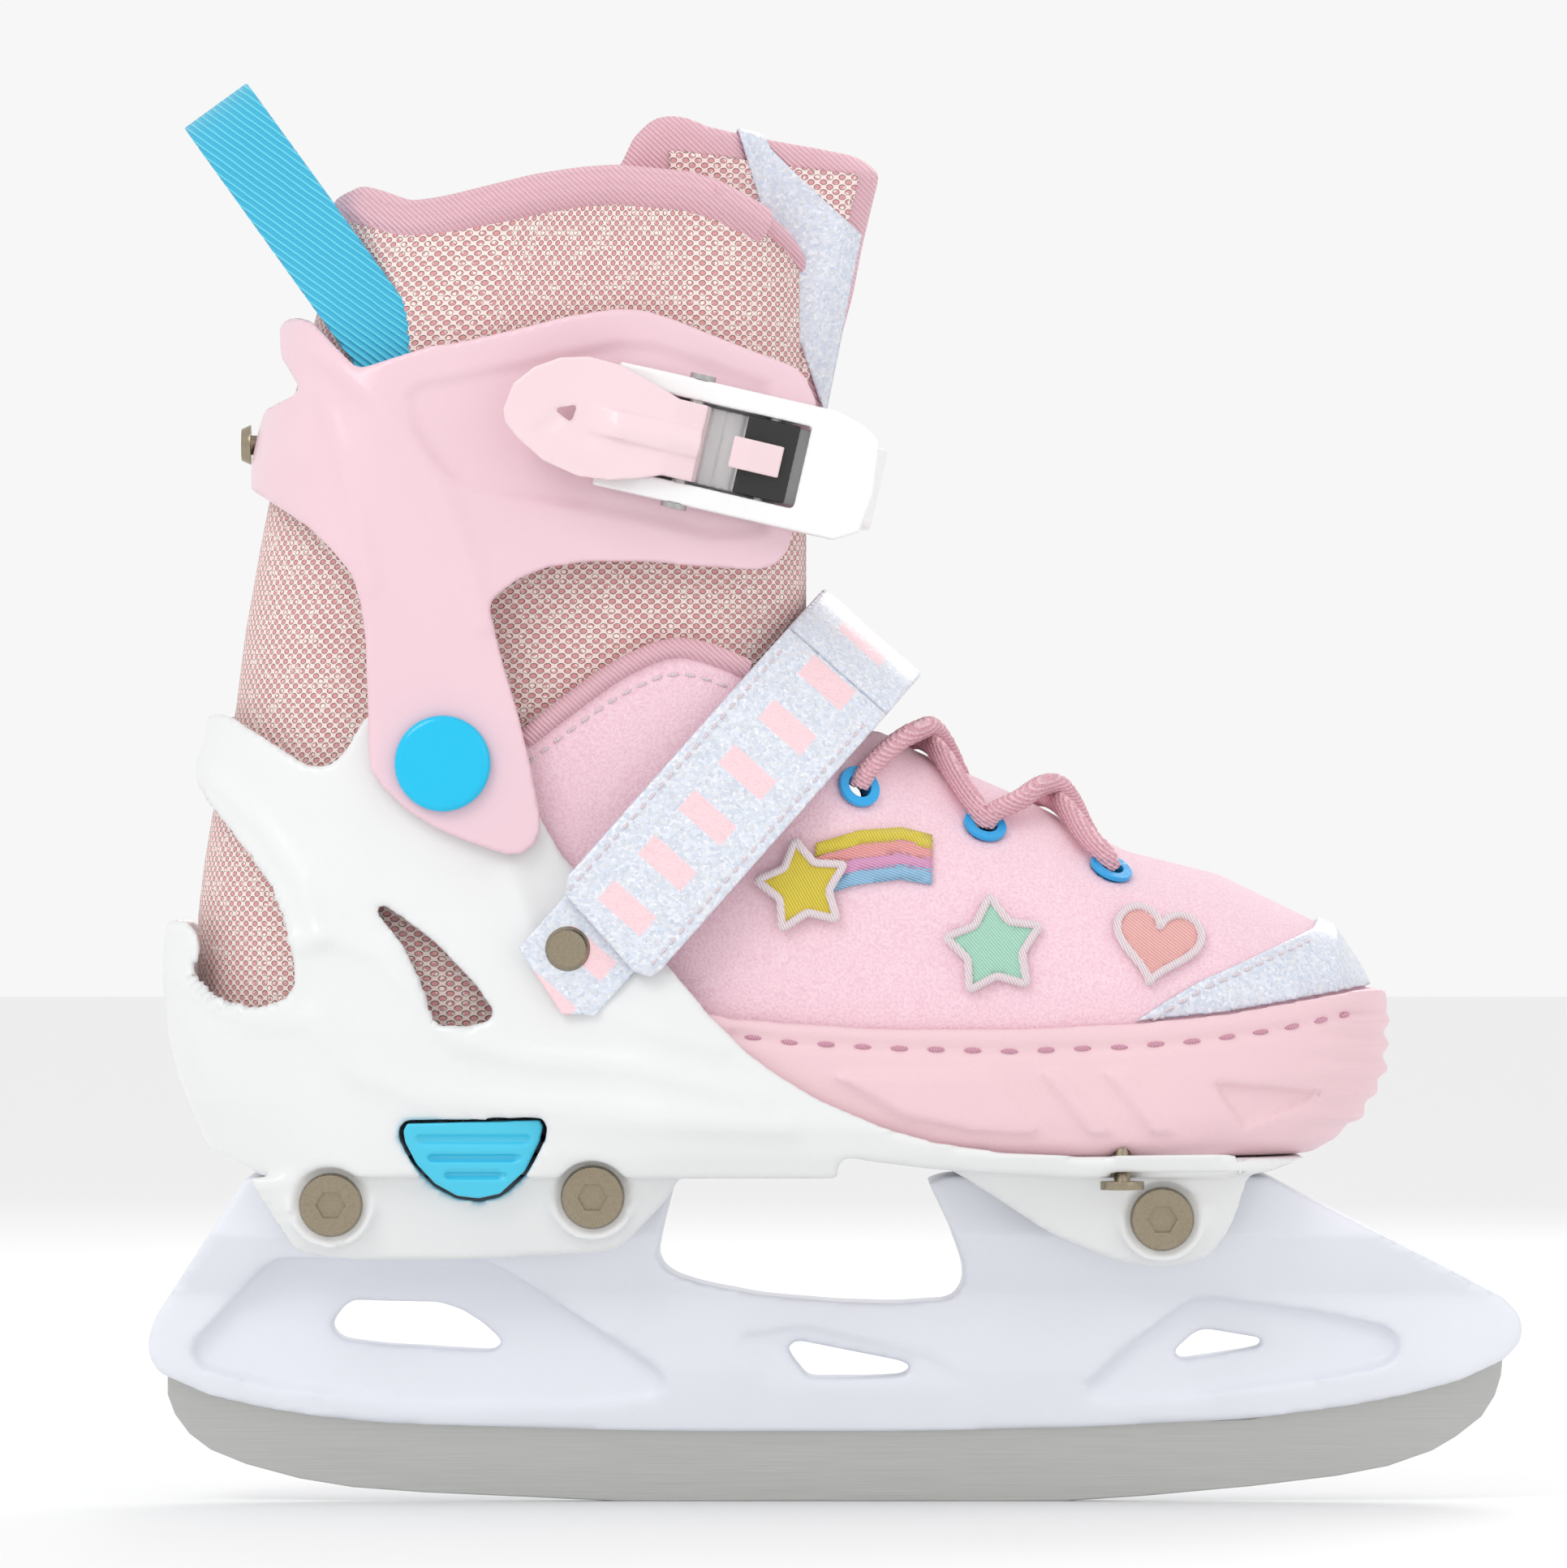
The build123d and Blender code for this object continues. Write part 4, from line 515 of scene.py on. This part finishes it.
CUFF_RIDGES = [
    [(-97.7, 220.4), (-89.1, 213.3), (-82, 205.5), (-76.3, 197), (-72, 187), (-69.2, 178.5),
     (-67.1, 169.3)],
    [(-98.4, 213.3), (-94.8, 203.4), (-91.3, 189.9), (-89.1, 176.4)],
]
CUFF_PANEL = [
    (-80.6, 215.8), (-72.9, 217.2), (-56.3, 220.6), (-41.9, 223.8), (-34.2, 223.4), (-25.9, 220.6), (-12, 216),
    (-12, 186), (-23.2, 185.1), (-39.8, 189), (-56.3, 192.3), (-67.8, 194.1), (-72.8, 196.3), (-77, 199.8),
    (-81.3, 206.2), (-82.7, 212.7),
]


def cuff_relief(co, normals):
    lift = swell(away(co, CUFF_RIDGES[0]), 0.9, 2.2) + swell(away(co, CUFF_RIDGES[1]), 0.7, 2.0)
    edge = away(co, CUFF_PANEL + CUFF_PANEL[:1])
    lift -= within(co, CUFF_PANEL) * np.clip(edge / 2.0, 0, 1) * 0.9
    return lift * outer(co, normals)


SOLE_SEAM = [(106.4, 95.9), (99.6, 94.9), (84.4, 91.9), (69.3, 89.9), (54.2, 88.7), (34, 87.9), (11.9, 88.4),
             (-8.5, 89.6), (-20.2, 91)]
# each plain figure on the sole's side: its outline and its height
SOLE_FIGURES = [
    ([(-0.4, 82.9), (1.5, 83.5), (28.6, 84), (31.7, 82.5), (39, 72.7), (37.1, 71.9), (26.3, 72.4),
      (12.3, 75.5)], 0.6),
    ([(38.5, 84.1), (43.6, 84.1), (53.4, 71.8), (48.1, 71.8)], 0.6),
    ([(50.4, 84.1), (56, 84.2), (65, 72), (60.2, 72)], 0.6),
    ([(71.3, 82.1), (95.5, 79.8), (77.9, 73)], -0.7),
]


TREAD_PITCH = 4.6


def sole_relief(co, normals):
    """The stitched seam's groove, the side figures and the toe's tread bars."""
    lift = -swell(away(co, SOLE_SEAM), 0.75, 1.0) * outer(co, normals)
    for figure, height in SOLE_FIGURES:
        edge = away(co, figure + figure[:1])
        lift += within(co, figure) * np.clip(edge / 0.9, 0, 1) * height * outer(co, normals)
    front = np.clip((co[:, 0] - 88) / 12, 0, 1) * np.clip(normals[:, 0] * 2, 0, 1)
    low = np.clip((co[:, 2] - 70) / 3, 0, 1) * np.clip((96 - co[:, 2]) / 2, 0, 1)
    return lift + 0.55 * np.sin(co[:, 2] * 2 * np.pi / TREAD_PITCH) * front * low


LEVER_RIB = [(-41.2, 206.5), (-32, 204.4), (-22, 202.0)]
LEVER_DISH = [(-47, 205), (-51.5, 209.5), (-56, 206), (-52, 200), (-45, 197)]
BUTTON_GROOVES = [[(-79, 70.6), (-59.5, 70.6)], [(-77, 67.4), (-62, 67.4)], [(-74, 64.2), (-65, 64.2)]]


def outer_face(normals):
    """1 on faces that look straight to the outer side, 0 elsewhere."""
    return np.clip(-normals[:, 1] * 2 - 0.6, 0, 1)


def lever_relief(co, normals):
    return (swell(away(co, LEVER_RIB), 0.8, 2.2) - swell(away(co, LEVER_DISH), 0.5, 1.8)) * outer_face(normals)


def button_relief(co, normals):
    return -sum(swell(away(co, groove), 0.7, 0.7) for groove in BUTTON_GROOVES) * outer_face(normals)


moulded("heel_shell", ["shell"], 1.0, 4, SHELL, shell_relief)
moulded("holder_body", ["blade_holder"], 1.0, 4, HOLDER)
moulded("ankle_cuff", ["cuff"], 0.8, 4, CUFF, cuff_relief)
sole = moulded("toe_sole_body", ["toe_sole"], 0.9, 3, SOLE, sole_relief)
moulded("thumb_lever", ["buckle_lever"], 0.35, 3, LEVER, lever_relief)
moulded("buckle_body", ["buckle_frame"], 0.4, 2, WHITE)
moulded("size_button_body", ["size_button"], 0.35, 2, BUTTON, button_relief)
moulded("ladder_strap_body", ["ladder_strap"], 0.4, 1, WHITE)
moulded("release_nose", ["release_tab"], 0.25, 2, LEVER)
moulded("pawl_body", ["pawl"], 0.3, 2, BLACK)
moulded("pivot_cap_pair", ["pivot_caps"], 0.4, 2, CAP)
moulded("strap_root_body", ["strap_root"], 0.4, 2, WHITE)
moulded("ring_body", ["strap_ring"], 0.3, 2, WHITE)
vamp = moulded("felt_vamp", ["vamp"], 1.0, 6, FELT)


def crisp(names, material, edge_mm):
    """A CAD node kept as it is, with its edges broken and a finish."""
    for name in names:
        node = NODES[name]
        if node.data.materials:
            for place in node.material_slots:
                place.material = material
        else:
            node.data.materials.append(material)
        if edge_mm:
            weld = node.modifiers.new("weld", "WELD")
            weld.merge_threshold = 1e-6
            edge = node.modifiers.new("edge", "BEVEL")
            edge.width = edge_mm * MM
            edge.segments = 2
            edge.limit_method = "ANGLE"
            edge.angle_limit = math.radians(35)


crisp(["blade"], BLADE, 0.25)
crisp(["holder_bolts", "sleeve_nuts", "guide_screws", "strap_root_rivet", "rear_rivet", "strap_rivets"],
      NICKEL, 0.2)
crisp(["pivot_rivets", "buckle_rivets"], NICKEL, 0)
crisp(["lever_pin", "pawl_pin", "button_spring"], PIN, 0)
crisp(["pivot_washers"], WHITE, 0)
crisp(["eyelets"], EYELET, 0.15)
crisp(["insole_front", "insole_heel"], INSOLE, 0.6)

# ------------------------------------------------------------- soft upper
cap = moulded("glitter_toe_cap", ["toe_cap"], 0.45, 1, GLITTER)
on_vamp = tree_of(vamp)
SIDES = ((-1, "outer"), (1, "inner"))
TOPLINE = [(-59.5, 149), (-52.6, 154.4), (-44.3, 160.5), (-38.7, 163.8), (-33.2, 166.1), (-29.3, 166.5),
           (-24.9, 165.5), (-20.4, 163.8), (-17.1, 162.2)]
for side, label in SIDES:
    rim = laid_on(on_vamp, [(x, z - 2.4) for x, z in fine(TOPLINE, 3)], side, 0.1)
    rim = [Vector((p.x, p.y, p.z + 1.0)) for p in rim]
    tube(f"topline_piping_{label}", rim, 2.0, PADDING, "toe")
    seam = laid_on(on_vamp, [(x, z - 6.5) for x, z in fine(TOPLINE, 3)], side, 0.15)
    stitches(f"topline_stitches_{label}", seam, 3.2, 2.2, 0.35, THREAD, "toe")
CAP_EDGE = [(57, 93.3), (62.2, 97), (69.3, 101.2), (76.9, 104.5), (84.4, 107.8), (91, 110.6)]
on_cap = tree_of(cap, vamp)
on_sole = tree_of(sole)
for side, label in SIDES:
    seam = laid_on(on_cap, [(x + 0.6, z - 1.6) for x, z in fine(CAP_EDGE, 2)], side, 0.1)
    stitches(f"toe_cap_stitches_{label}", seam, 3.0, 2.1, 0.32, THREAD, "toe")
    # the sole's stitches: real stitches, drawn in a darker pink that is partly painted shade of their holes
    seam = laid_on(on_sole, fine([p for p in SOLE_SEAM if p[0] < 100], 2), side, 0.1)
    stitches(f"sole_stitches_{label}", seam, 7.0, 3.4, 0.55, PINK_THREAD_WITH_PAINTED_SHADE, "toe")

# ------------------------------------------------------------- inner boot
# height, rearmost x and half width, in mm
BOOT_LEVELS = np.array([
    (72.0, -119.0, 30.0), (90.0, -123.4, 30.6), (104.0, -123.7, 30.6), (114.0, -123.5, 30.2),
    (123.0, -122.4, 30.0), (133.0, -120.8, 30.0), (143.0, -118.5, 30.0), (152.0, -116.4, 30.0),
    (168.0, -114.4, 30.2), (186.0, -111.2, 32.4), (200.0, -108.4, 34.0), (215.0, -104.6, 34.6),
    (232.0, -100.0, 35.0), (251.0, -96.0, 35.6), (258.0, -95.0, 35.8)])
BOOT_FOOT = 76.5
BOOT_ROWS = 56
BOOT_FRONT = -5.5
BOOT_CORNER = 23.2
COLLAR_TOP = [(-96, 250.5), (-90.7, 252.8), (-85, 250.3), (-80.9, 249.2), (-74.8, 249.8), (-67, 251.6),
              (-56.8, 254.1), (-48.1, 255.4), (-41.9, 255.8), (-25.9, 254.3), (-14.8, 248.2), (-9.3, 243.2),
              (-5.5, 239)]


def boot_half_width(z):
    return float(np.interp(z, BOOT_LEVELS[:, 0], BOOT_LEVELS[:, 2]))


def boot_plan(z, inset=0.0):
    """The inner boot's open outline at a height, outer side first."""
    rear = np.interp(z, BOOT_LEVELS[:, 0], BOOT_LEVELS[:, 1]) + inset
    half = boot_half_width(z) - inset
    corner = BOOT_CORNER - inset
    front = BOOT_FRONT - inset
    spots = []
    for k in range(7):
        turn = math.radians(8 + 82 * k / 6)
        spots.append((front - corner + corner * math.cos(turn), -(half - corner) - corner * math.sin(turn)))
    for k in range(1, 12):
        spots.append((front - corner + (rear + half - front + corner) * k / 12, -half))
    for k in range(25):
        turn = math.radians(-90 - 180 * k / 24)
        spots.append((rear + half + half * math.cos(turn), half * math.sin(turn)))
    return spots + [(x, -y) for x, y in reversed(spots[:18])]


def collar_height(x):
    return float(np.interp(x, [p[0] for p in COLLAR_TOP], [p[1] for p in COLLAR_TOP]))


def boot_skin(name, material):
    """The net-covered foam wall, from the sole up to the collar."""
    shape = bmesh.new()
    uv = shape.loops.layers.uv.new("UVMap")
    row = [shape.verts.new((x * MM, y * MM, BOOT_FOOT * MM)) for x, y in boot_plan(BOOT_FOOT)]
    edges = [shape.edges.new((a, b)) for a, b in zip(row, row[1:])]
    waist = boot_plan(180)
    travel = [0.0]
    for a, b in zip(waist, waist[1:]):
        travel.append(travel[-1] + math.dist(a, b))
    cloth_place = {vert: (s * MM, BOOT_FOOT * MM) for vert, s in zip(row, travel)}
    rim = [collar_height(x) - 2.0 for x, _ in boot_plan(245)]
    for k in range(1, BOOT_ROWS + 1):
        made = bmesh.ops.extrude_edge_only(shape, edges=edges)["geom"]
        below = {vert.co.to_tuple(6): i for i, vert in enumerate(row)}
        ordered = [None] * len(row)
        for vert in made:
            if isinstance(vert, bmesh.types.BMVert):
                ordered[below[vert.co.to_tuple(6)]] = vert
        for i, vert in enumerate(ordered):
            z = BOOT_FOOT + (rim[i] - BOOT_FOOT) * k / BOOT_ROWS
            x, y = boot_plan(z)[i]
            puff = 0.5 * math.sin(min(1, max(0, (z - 165) / 80)) * math.pi)
            vert.co = (x * MM, (y + math.copysign(puff, y)) * MM, z * MM)
            cloth_place[vert] = (travel[i] * MM, z * MM)
        edges = [shape.edges.get((a, b)) for a, b in zip(ordered, ordered[1:])]
        row = ordered
    for face in shape.faces:
        for loop in face.loops:
            loop[uv].uv = cloth_place[loop.vert]
    bmesh.ops.recalc_face_normals(shape, faces=shape.faces)
    mesh = mesh_of(shape, name)
    piece = show(name, mesh, material)
    if sum(p.normal.y * p.center.y for p in mesh.polygons) < 0:
        mesh.flip_normals()
    thicken(piece, 4.6, -1)
    return piece


boot = boot_skin("inner_boot_net", NET)
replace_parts(boot, "liner_foot", "liner_shaft")
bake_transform(boot)

collar = [(x, y, collar_height(x) - 2.6) for x, y in boot_plan(250, 2.2)[3:-3]]
roll = tube("collar_roll", collar, 4.2, PADDING, "cuff")
FRONT_EDGE = [(-23.2, 252), (-14.8, 247.6), (-9.3, 243.2), (-6.5, 238.8), (-5.6, 234.4), (-5.6, 228.8),
              (-5.6, 219.4), (-5.6, 208), (-5.6, 196), (-5.6, 190)]
for side, label in SIDES:
    edge = []
    for x, z in FRONT_EDGE:
        reach = min(max(x - (BOOT_FRONT - BOOT_CORNER), 0), BOOT_CORNER - 0.3)
        rounded = math.sqrt(BOOT_CORNER ** 2 - reach ** 2)
        edge.append((x - 0.6, side * (boot_half_width(z) - BOOT_CORNER + rounded), z))
    piping = tube(f"front_piping_{label}", edge, 1.9, PADDING, None)
    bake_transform(piping)

# ----------------------------------------------------------------- tongue
def raised(height):
    """The same height, in mm, everywhere."""
    return lambda co, normals: height * np.ones(len(co))


tongue = moulded("padded_tongue", ["tongue"], 1.1, 8, PADDING, raised(0.5))


def cut_from(source, name, planes, lift, material, body):
    """The part of a piece's skin between planes, lifted off as a thin layer."""
    shape = bmesh.new()
    shape.from_mesh(source.data)
    for place, normal in planes:
        cut_whole(shape, Vector(place) * MM, normal, 1e-7, clear=True)
    piece = show(name, mesh_of(shape, name), material)
    sculpt(piece.data, raised(lift))
    thicken(piece, 0.4, 0)
    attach(piece, body)


for side, label in SIDES:
    cut_from(tongue, f"tongue_net_{label}", [
        ((0, side * 12, 0), (0, -side, 0)),
        ((2.2, 0, 248), (0.97, 0, -0.24)),
        ((-8, 0, 257.5), (0.12, 0, 1)),
        ((-32, 0, 240), (-1, 0, 0)),
        ((0, 0, 206), (0, 0, -1)),
    ], 0.45, TONGUE_NET, "cuff")
    cut_from(tongue, f"tongue_glitter_band_{label}", [
        ((0, side * 11, 0), (0, -side, 0)),
        ((-18.7, 0, 261.2), (-0.955, 0, -0.297)),
        ((-12, 0, 260.4), (0.69, 0, 0.72)),
        ((4.2, 0, 245), (0.98, 0, -0.2)),
        ((0, 0, 210), (0, 0, -1)),
        ((-8.6, 0, 228), (-0.96, 0, -0.28)),
    ], 0.8, GLITTER, "cuff")

TONGUE_DROP = [(-8.5, 200), (-10, 190), (-12, 180), (-15.5, 170), (-19.5, 160), (-24, 150), (-28, 142)]


def lower_tongue(name):
    """The tongue's lower end, going down inside the vamp."""
    shape = bmesh.new()
    bmesh.ops.create_grid(shape, x_segments=20, y_segments=24, size=1)
    for vert in shape.verts:
        u, t = vert.co.x, (1 - vert.co.y) / 2
        z = 200 - 58 * t
        x = float(np.interp(-z, [-p[1] for p in TONGUE_DROP], [p[0] for p in TONGUE_DROP]))
        vert.co = Vector((x - 9 * u * u, 21.5 * u, z)) * MM
    bmesh.ops.recalc_face_normals(shape, faces=shape.faces)
    piece = show(name, mesh_of(shape, name), TONGUE_FRONT)
    thicken(piece, 4, 0)
    return piece


drop = lower_tongue("lower_tongue")
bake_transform(drop)

# ------------------------------------------------------------------ straps
strap = moulded("instep_strap_cloth", ["instep_strap"], 0.6, 3, STRAP_CLOTH)
flap = moulded("strap_flap_cloth", ["strap_flap"], 0.5, 2, STRAP_CLOTH)
for name, node in (("outer_strap_tail", "strap_anchor"), ("inner_ring_tab", "ring_tab")):
    tab = moulded(name, [node], 0.4, 2, STRAP_CLOTH, ride=False)
    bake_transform(tab)
on_flap = tree_of(flap, strap)


on_strap = tree_of(strap)
HEMS = ((-10.6, "rear"), (10.6, "front"))


def strap_line(off, low, high):
    """A side-view line beside the strap's middle, from low to high along it."""
    return fine([tuple(top + off * across + n * way for top, across, way in
                       zip(STRAP_TOP, STRAP_ACROSS[::2], STRAP_ALONG[::2])) for n in (low, high)], 2)


for off, label in HEMS:
    hem = laid_on(on_flap, strap_line(off, -74, -12), -1, 0.1)
    stitches(f"flap_hem_{label}", hem, 2.6, 1.8, 0.3, THREAD, "strap_flap")
for off, label in HEMS:
    hem = laid_on(on_strap, strap_line(off, -56, -3), 1, 0.1)
    stitches(f"strap_hem_{label}", hem, 2.6, 1.8, 0.3, THREAD, "toe")

loop = moulded("pull_loop_ribbon", ["pull_loop"], 0.45, 1, RIBBON)

# ------------------------------------------------------------------- laces
LACE_RADIUS = 2.1
BRAID_LAY = 9.0
EYELETS = [(4.1, 138.1), (28.4, 130.6), (52.6, 122.3)]


def down_on(trees, x, y, lift):
    """Where a line from above meets the first piece, in mm, lifted off."""
    hit, normal, _, _ = trees[0].ray_cast(Vector((x, y, 250)) * MM, Vector((0, 0, -1)))
    return hit / MM + normal * lift


def beside_eyelet(x, z, side):
    """The middle of an eyelet's hole, from the felt on both sides of it."""
    return (touch(on_vamp, x - 4, z, side, 0.4) + touch(on_vamp, x + 4, z, side, 0.4)) / 2


def lace_route(start, end, side, lift):
    """From an eyelet on one side, over the tongue, to one on the other side."""
    (x0, z0), (x1, z1) = EYELETS[start], EYELETS[end]
    first = beside_eyelet(x0, z0, side)
    last = beside_eyelet(x1, z1, -side)
    path = [first, first + Vector((0.6, side * 1.6, 2.6))]
    for t, y, up in ((0.22, 19, 0.5), (0.36, 10, 0.8), (0.5, 0, 1.0), (0.64, -10, 0.8), (0.78, -19, 0.5)):
        x = x0 + (x1 - x0) * t
        path.append(down_on(on_vamp, x, side * y, 2.6 + lift * up))
    return path + [last + Vector((-0.6, -side * 1.6, 2.6)), last]


def smooth_line(path, count):
    """Points along the soft curve through a route."""
    curve = new_curve("route")
    line = add_line(curve, "NURBS", path)
    line.order_u = 3
    line.use_endpoint_u = True
    line.resolution_u = 12
    raw = [v.co.copy() for v in curve_mesh(curve).vertices]
    total = sum((b - a).length for a, b in zip(raw, raw[1:]))
    return along(raw, total / count)


def braided(name, path):
    """A round braid: six strands each way over a core."""
    spots = smooth_line(path, 70)
    curve = new_curve(name, LACE_RADIUS * 0.34, 1)
    frames = []
    across = Vector((0, 1, 0))
    run = 0.0
    before = spots[0][0]
    for spot, way in spots:
        across = (across - way * across.dot(way)).normalized()
        run += (spot - before).length
        before = spot
        frames.append((spot, across.copy(), way.cross(across), run))
    for sense in (-1, 1):
        for k in range(6):
            strand = []
            for spot, a, b, run in frames:
                turn = sense * run / BRAID_LAY * 2 * math.pi + k * math.pi / 3
                reach = LACE_RADIUS * (0.66 + 0.06 * math.sin(3 * turn))
                strand.append((spot + (a * math.cos(turn) + b * math.sin(turn)) * reach) * MM)
            add_line(curve, "POLY", strand)
    core = add_line(curve, "POLY", [frame[0] * MM for frame in frames])
    for point in core.points:
        point.radius = 2.1
    piece = show(name, curve_mesh(curve), LACE)
    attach(piece, "toe")
    return piece


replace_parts(braided("lace_cross_1", lace_route(0, 1, -1, 3.2)), "laces")
braided("lace_cross_2", lace_route(0, 1, 1, 0.2))
braided("lace_cross_3", lace_route(1, 2, -1, 3.2))
braided("lace_cross_4", lace_route(1, 2, 1, 0.2))


# ----------------------------------------------------------------- patches
def patch(name, outline, material, lift, border=True):
    """An embroidered piece laid on the vamp's outer side."""
    shape = bmesh.new()
    shape.faces.new([shape.verts.new((x, 0, z)) for x, z in outline])
    # cut every 2 mm, so that the patch follows the vamp's curve
    for axis, way in ((0, Vector((1, 0, 0))), (1, Vector((0, 0, 1)))):
        reach = [p[axis] for p in outline]
        for k in range(int(min(reach)) - 1, int(max(reach)) + 2, 2):
            cut_whole(shape, way * k, way, 1e-5)
    for vert in shape.verts:
        vert.co = touch(on_vamp, vert.co.x, vert.co.z, -1, lift) * MM
    bmesh.ops.recalc_face_normals(shape, faces=shape.faces)
    mesh = mesh_of(shape, name)
    if sum(p.normal.y for p in mesh.polygons) > 0:
        mesh.flip_normals()
    piece = show(name, mesh, material)
    thicken(piece, 0.9, -1)
    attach(piece, "toe")
    if border:
        rim = laid_on(on_vamp, fine(outline + outline[:1], 1.2)[:-1], -1, lift)
        tube(name + "_border", rim, 0.8, THREAD, "toe", closed=True)
    return piece


def star(cx, cz, big, small, turn):
    """A five-pointed star's outline, turned by degrees."""
    spots = []
    for k in range(10):
        reach = big if k % 2 == 0 else small
        angle = math.radians(turn + 36 * k)
        spots.append((cx + reach * math.cos(angle), cz + reach * math.sin(angle)))
    return spots


mint = patch("mint_star", star(30.1, 107.6, 9.4, 5.4, 96), STITCHED["mint"], 1.2)
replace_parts(mint, "star_patch")
TAIL = [("yellow", 0.0), ("coral", 2.5), ("lilac", 5.0), ("blue", 7.5)]
for colour, down in TAIL:
    upper = [(-4, 127.5 - down), (4, 129.8 - down), (12, 130.2 - down * 0.92), (18.2, 128.6 - down * 0.85)]
    lower = [(x, z - 2.7) for x, z in reversed(upper)]
    patch(f"comet_tail_{colour}", upper + lower, STITCHED[colour], 1.1, border=False)
comet = patch("comet_star", star(-6.4, 119.2, 9.0, 5.0, 100), STITCHED["yellow"], 1.9)
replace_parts(comet, "comet_patch")
HEART_MIDDLE = (61.2, 108.4)
HEART_LEAN = math.radians(-12)


def heart_spot(t):
    """A point of the heart's outline, at an angle round it."""
    x = 0.52 * 16 * math.sin(t) ** 3
    z = 0.46 * (13 * math.cos(t) - 5 * math.cos(2 * t) - 2 * math.cos(3 * t) - math.cos(4 * t))
    c, s = math.cos(HEART_LEAN), math.sin(HEART_LEAN)
    return HEART_MIDDLE[0] + x * c - z * s, HEART_MIDDLE[1] + x * s + z * c


heart = patch("pink_heart", [heart_spot(2 * math.pi * k / 28) for k in range(28)], STITCHED["heart"], 1.2)
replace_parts(heart, "heart_patch")

# ------------------------------------------------------- floor, light, view
floor_shape = bmesh.new()
bmesh.ops.create_grid(floor_shape, x_segments=1, y_segments=1, size=6)
floor_paint, _, floor_shader, _ = start_finish("pale_studio_floor", 0.6)
floor_shader.inputs["Base Color"].default_value = (0.9, 0.9, 0.9, 1)
show("floor", mesh_of(floor_shape, "floor"), floor_paint)

world = bpy.data.worlds.new("studio")
world.use_nodes = True
world.node_tree.nodes["Background"].inputs[0].default_value = (1, 1, 1, 1)
world.node_tree.nodes["Background"].inputs[1].default_value = 0.93
bpy.context.scene.world = world


def soft_light(name, place, target, size, power):
    light = bpy.data.lights.new(name, "AREA")
    light.shape = "RECTANGLE"
    light.size, light.size_y = size
    light.energy = power
    lamp = bpy.data.objects.new(name, light)
    lamp.location = place
    lamp.rotation_euler = (Vector(target) - Vector(place)).to_track_quat("-Z", "Y").to_euler()
    bpy.context.scene.collection.objects.link(lamp)


MIDDLE = (-0.01, 0, 0.14)
soft_light("key", (-0.7, -1.1, 1.1), MIDDLE, (0.7, 0.7), 5)
soft_light("fill", (1.0, -1.0, 0.5), MIDDLE, (0.9, 0.9), 1.0)
soft_light("back", (0.3, 1.2, 0.9), MIDDLE, (0.8, 0.8), 4)

camera_data = bpy.data.cameras.new("camera")
camera_data.lens = 300.0
camera_data.sensor_width = 36.0
camera_data.clip_end = 20
camera = bpy.data.objects.new("camera", camera_data)
camera.location = (-0.0101, -2.532, 0.1389)
camera.rotation_euler = (math.radians(90), 0, 0)
bpy.context.scene.collection.objects.link(camera)
bpy.context.scene.camera = camera
# the colours and lights above are matched in this transform
bpy.context.scene.view_settings.view_transform = "Standard"
